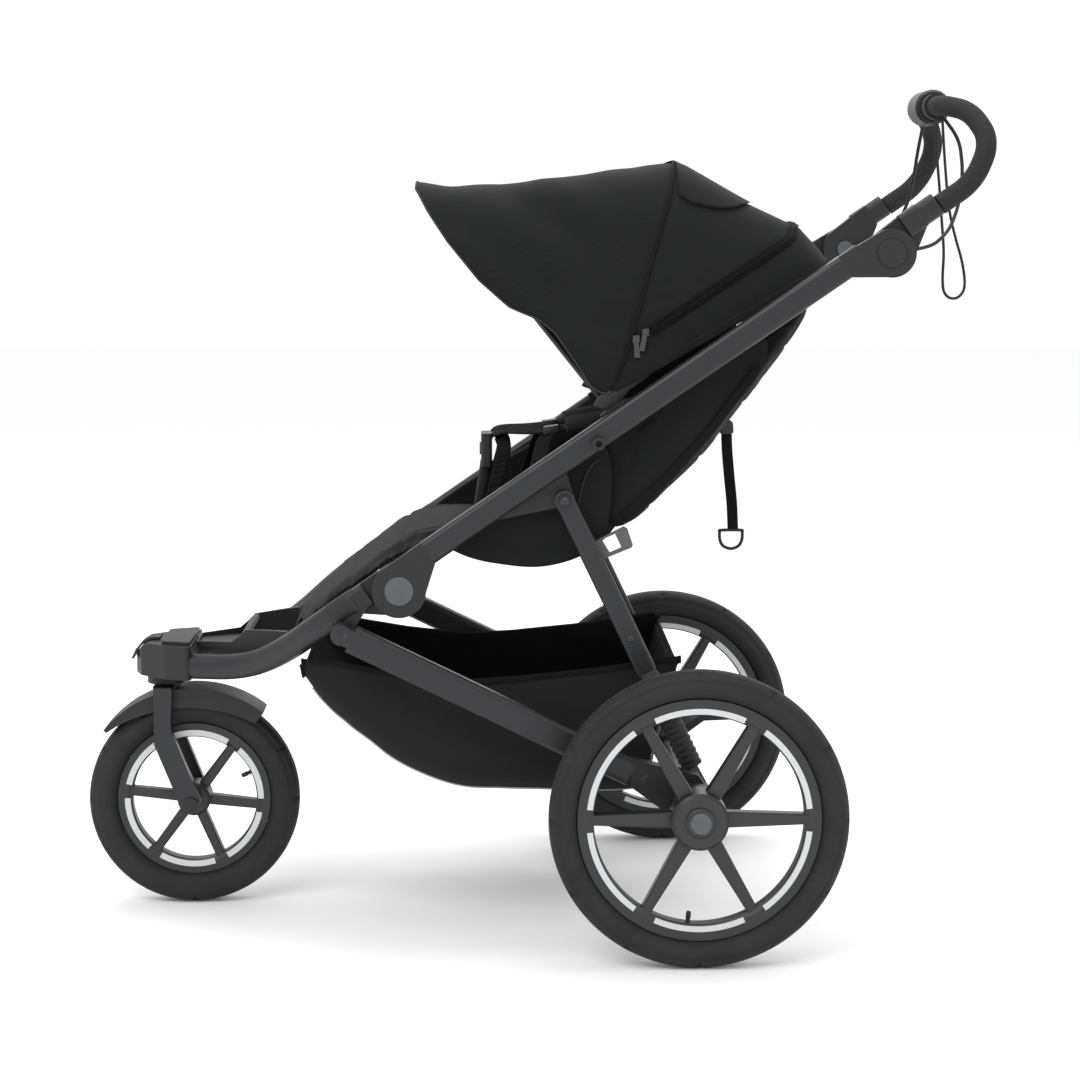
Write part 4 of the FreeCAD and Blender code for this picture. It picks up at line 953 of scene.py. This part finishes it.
def basket():
    """The storage basket: a lofted cloth tray that sags between the front hem, rear edge and side hems."""
    low = smooth_line([(-235, 0, 366), (-205, 0, 322), (-165, 0, 284), (-120, 0, 248), (-74, 0, 222),
                       (-19, 0, 203), (36, 0, 198), (140, 0, 196.5), (232, 0, 200), (246, 0, 232),
                       (262, 0, 300), (280, 0, 372)], BASKET_STATIONS)
    rim_line = [(-236, 390), (-190, 385), (-100, 369), (-14, 359), (60, 363), (169, 374), (230, 383),
                (282, 391)]
    rows = []
    for x, _, z in low:
        top = float(np.interp(x, *zip(*rim_line)))
        depth = max(top - z, 2.0)
        radius = min(34.0, depth * 0.48)
        flat = [(y, 0.0) for y in np.linspace(0, BASKET_HALF - radius, 12)]
        turn = [(BASKET_HALF - radius + radius * math.sin(a), radius * (1 - math.cos(a)))
                for a in np.linspace(0, math.pi / 2, 9)[1:]]
        wall = [(BASKET_HALF, radius + (depth - radius) * t) for t in np.linspace(0, 1, 12)[1:]]
        right = np.array(flat + turn + wall)
        belly = 2.4 * np.sin(math.pi * np.clip(right[:, 1] / depth, 0, 1))
        right[:, 0] = right[:, 0] + belly - 1.0
        side = np.stack([np.full(len(right), x), right[:, 0], z + right[:, 1]], axis=1)
        rows.append(np.concatenate([(side * np.array([1, -1, 1]))[::-1][:-1], side]))
    sheet = np.array(rows)
    normals = sheet_normals(sheet)
    floor_point = (40, 31)
    outward = normals if normals[floor_point][2] < 0 else -normals
    sag = noise_at(sheet, (0.008, 0.012, 0.02), 2.0) * 2.6 + noise_at(sheet, (0.02, 0.03, 0.05), 8.0) * 0.8
    station = np.arange(BASKET_STATIONS)
    edge = np.clip(np.minimum(station, station[::-1]) / 8, 0, 1)[:, None]
    sheet = sheet + outward * (np.minimum(sag, 2.4) * edge - 0.8)[..., None]
    made = shell("basket_cloth", sheet, outward, 2.2, "basket_cloth", "rear_frame")
    recalculate(made)
    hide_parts("basket")
    # Painted shade: the tray's inner faces take the darker cloth, darkening the inside of the tray.
    made.data.materials.append(LOOKS["cloth_dark"])
    painted_shade_inside = np.zeros(len(made.data.polygons), dtype=np.int32)
    quads = (BASKET_STATIONS - 1) * (sheet.shape[1] - 1)
    painted_shade_inside[quads:2 * quads] = 1
    made.data.polygons.foreach_set("material_index", painted_shade_inside)
    middle = sheet.shape[1] // 2
    for name, side in SIDES.items():
        edge_line = even(sheet[2:-1, 0 if side < 0 else -1], 90)
        sweep(f"basket_binding_{name}", edge_line + np.array([0, side * 0.9, -3]), strap_section(8, 1.8),
              (0, 0, 1), "cloth_dark", "rear_frame")
        fold = sheet[3:-1, middle + side * 14] + outward[3:-1, middle + side * 14] * 1.4
        line = even(fold, 110)
        tube(f"basket_piping_{name}", line, 1.3, "silver_piping", "rear_frame", 8)
    rear = even(sheet[-1], 80)
    sweep("basket_rear_hem", rear + np.array([0.4, 0, 0]), strap_section(16, 2.6), (0.28, 0, 1), "cloth_dark",
          "rear_frame")
    front = even(sheet[0], 80)
    sweep("basket_front_hem", front, strap_section(12, 3.0), (0, 0, 1), "cloth_dark", "rear_frame")
    for made in [item for item in bpy.data.objects if item.name.startswith("basket_")]:
        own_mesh(made)


# ---------------- wheels
def tyre(name, centre, radius, wide, body, node):
    """A tyre turned from its section, with grooves around it and short sipes on each shoulder."""
    count, ring = 240, 44
    bead = radius * (0.81 if radius > 180 else 0.725)
    tube_radius = (radius - bead) / 2
    middle = radius - tube_radius
    points = []
    for step in range(count):
        angle = 2 * math.pi * step / count
        for j in range(ring):
            turn = 2 * math.pi * j / ring
            reach = middle + tube_radius * math.copysign(abs(math.cos(turn)) ** 0.85, math.cos(turn))
            y = wide * math.copysign(abs(math.sin(turn)) ** 0.85, math.sin(turn))
            share = reach / radius
            cut = 2.6 * math.exp(-((share - 0.935) / 0.012) ** 2)
            sipe = 3.0 if step % 20 == 0 and 0.94 < share < 0.99 else 0.0
            rib = 0.8 * math.exp(-((abs(y) - 5.5) / 1.6) ** 2) if share > 0.96 else 0.0
            y -= math.copysign(min(cut + sipe * 0.9, abs(y)), y)
            reach -= sipe + rib
            points.append((centre[0] + reach * math.sin(angle), centre[1] + y,
                           centre[2] + reach * math.cos(angle)))
    made = piece(name, points, grid(count, ring, ring=True, closed=True), "tyre", body)
    recalculate(made)
    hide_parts(node)
    return made


def valve(name, centre, bead, angle, body):
    """The valve stem that points from the rim towards the hub."""
    out = np.array([math.cos(math.radians(angle)), 0, math.sin(math.radians(angle))])
    profile = [(0.5, 0), (3.0, 0.6), (3.0, 16), (2.4, 17), (3.4, 18), (3.4, 25), (2.6, 27), (0.5, 27.6)]
    start = np.array(centre) + out * (bead - 9)
    return lathe(name, profile, tuple(start), tuple(-out), "cable", body, 18)


def bellows(name, side):
    """The ribbed rubber boot over the lower end of a strut."""
    top, foot = np.array([124.5, side * 205.0, 611.0]), np.array([307.0, side * 205.0, 229.0])
    down = unit(foot - top)
    length = float(np.linalg.norm(foot - top))
    first, last, pitch = 318.0, length - 14.5, 9.2
    profile = [(2.0, first)]
    away = first
    while away < last - 1:
        swellings = 14.4 + 2.1 * abs(math.sin(math.pi * (away - first) / pitch)) ** 0.7
        profile.append((swellings * (0.97 - 0.05 * (away - first) / (last - first)), away))
        away += pitch / 10
    profile.append((2.0, last))
    made = lathe(f"strut_bellows_{name}", profile, tuple(top), tuple(down), "bellows", f"strut_body_{name}")
    recalculate(made)
    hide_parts(f"shock_bellows_{name}")


def bolt(name, x, y, z, side, radius, body):
    """A button-head bolt with a hex socket on a washer."""
    profile = [(0.4, -0.5), (radius * 1.5, -0.5), (radius * 1.5, 0.7), (radius * 1.02, 0.8), (radius, 1.6),
               (radius * 0.86, 2.7), (radius * 0.5, 3.1), (radius * 0.46, 1.6), (0.4, 1.6)]
    made = lathe(name, profile, (x, y, z), (0, side, 0), "metal_grey", body, count=24)
    recalculate(made)


def rounded_route(corners, count):
    """A quadratic curve that rounds every corner of a route."""
    corners = np.asarray(corners, float)
    middles = (corners[:-1] + corners[1:]) / 2
    run = [corners[0]]
    for start, corner, end in zip(middles, corners[1:-1], middles[1:]):
        for t in np.linspace(0, 1, 16):
            run.append((1 - t) ** 2 * start + 2 * t * (1 - t) * corner + t * t * end)
    run.append(corners[-1])
    return even(np.array(run), count)


def bridge(name, line, half, wave):
    """A strip of cloth across the recline hinge; half is half its width, wave the size of its ripples."""
    line = smooth_line([(x, 0, z) for x, z in line], 16)
    across = np.linspace(-half, half, 61)
    sheet = np.stack([np.stack([np.full_like(across, x), across, np.full_like(across, z)], axis=1)
                      for x, _, z in line])
    normals = sheet_normals(sheet)
    sheet = sheet + normals * (wave * noise_at(sheet, (0.02, 0.014, 0.02), 4.0))[..., None]
    made = shell(name, sheet, normals, 2.2, "cloth", None)
    recalculate(made)
    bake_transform(made)


def bridges():
    """The cloth between the seat and the backrest, and the curtain from the canopy down to the backrest."""
    bridge("seat_back_cloth", [(150, 540), (168, 544), (184, 556), (198, 574), (206, 584)], 160,
           3.0)
    bridge("canopy_curtain", [(500, 932), (492, 918), (480, 902), (470, 889), (458, 876)], 140,
           5.0)


def front_tubes():
    """The two flat-oval side tubes that run from the fold hubs to the nose."""
    angles = np.linspace(0, 2 * math.pi, 28, endpoint=False)
    oval = [(14.5 * math.copysign(abs(math.cos(a)) ** 0.8, math.cos(a)),
             18.0 * math.copysign(abs(math.sin(a)) ** 0.8, math.sin(a))) for a in angles]
    for name, side in SIDES.items():
        corners = [(-158, side * 205, 474), (-205, side * 192, 441.5), (-265, side * 140, 391),
                   (-325, side * 88, 360), (-404, side * 56, 356), (-420, side * 54, 356)]
        line = rounded_route(corners, 70)
        across = np.cross(along(line), [0, 0, 1])
        made = sweep(f"front_tube_{name}", line, oval, across, "frame_tube", "front_frame")
        recalculate(made)
        if side < 0:
            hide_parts("front_tubes")
        collar = line[:9]
        sleeve = [(a * 1.08, b * 1.05) for a, b in oval]
        made = sweep(f"front_tube_sleeve_{name}", collar, sleeve, across[:9], "casting", "front_frame")
        recalculate(made)


def handle_cap(name, side):
    """The blank round cap over a handle hinge."""
    profile = [(0.4, 0), (21.5, 0), (21.5, 1.0), (20.4, 1.1), (20.2, 0.3), (19.6, 0.3), (19.4, 1.7),
               (17.8, 2.3), (0.4, 2.3)]
    made = lathe(f"handle_cap_{name}", profile, (566.7, side * 216.6, 946.5), (0, side, 0), "casting",
                 "upper_frame", count=64)
    recalculate(made)


def rear_hub(side):
    """The centre of a rear wheel."""
    return 299.3, side * 320.0, 200.0


FRONT_HUB = (-406.5, 0.0, 152.5)


def hardware():
    for name, side in SIDES.items():
        bolt(f"strut_top_bolt_{name}", 124.5, side * 221.0, 611.0, side, 4.2, f"strut_body_{name}")
        bolt(f"strut_lower_bolt_{name}", 215.0, side * 213.0, 421.0, side, 3.0, f"strut_body_{name}")
        bolt(f"leg_bolt_{name}", 232.0, side * 248.0, 236.0, side, 3.4, "rear_frame")
        bolt(f"leg_pivot_bolt_{name}", -172.0, side * 248.0, 431.0, side, 3.0, "rear_frame")
        tyre(f"tyre_tread_{name}", rear_hub(side), 200.0, 22.3, f"rear_wheel_{name}", f"rear_tyre_{name}")
    tyre("tyre_tread_front", FRONT_HUB, 152.5, 24.8, "front_wheel", "front_tyre")
    valve("valve_front", FRONT_HUB, 110.5, 24, "front_wheel")
    for name, side in SIDES.items():
        handle_cap(name, side)
        valve(f"valve_{name}", rear_hub(side), 162.0, -96, f"rear_wheel_{name}")
        bellows(name, side)


camera()
wrist_strap()
studio()
dress_cad()
canopy()
seat()
backrest()
recline_strap()
harness()
basket()
bridges()
front_tubes()
hardware()
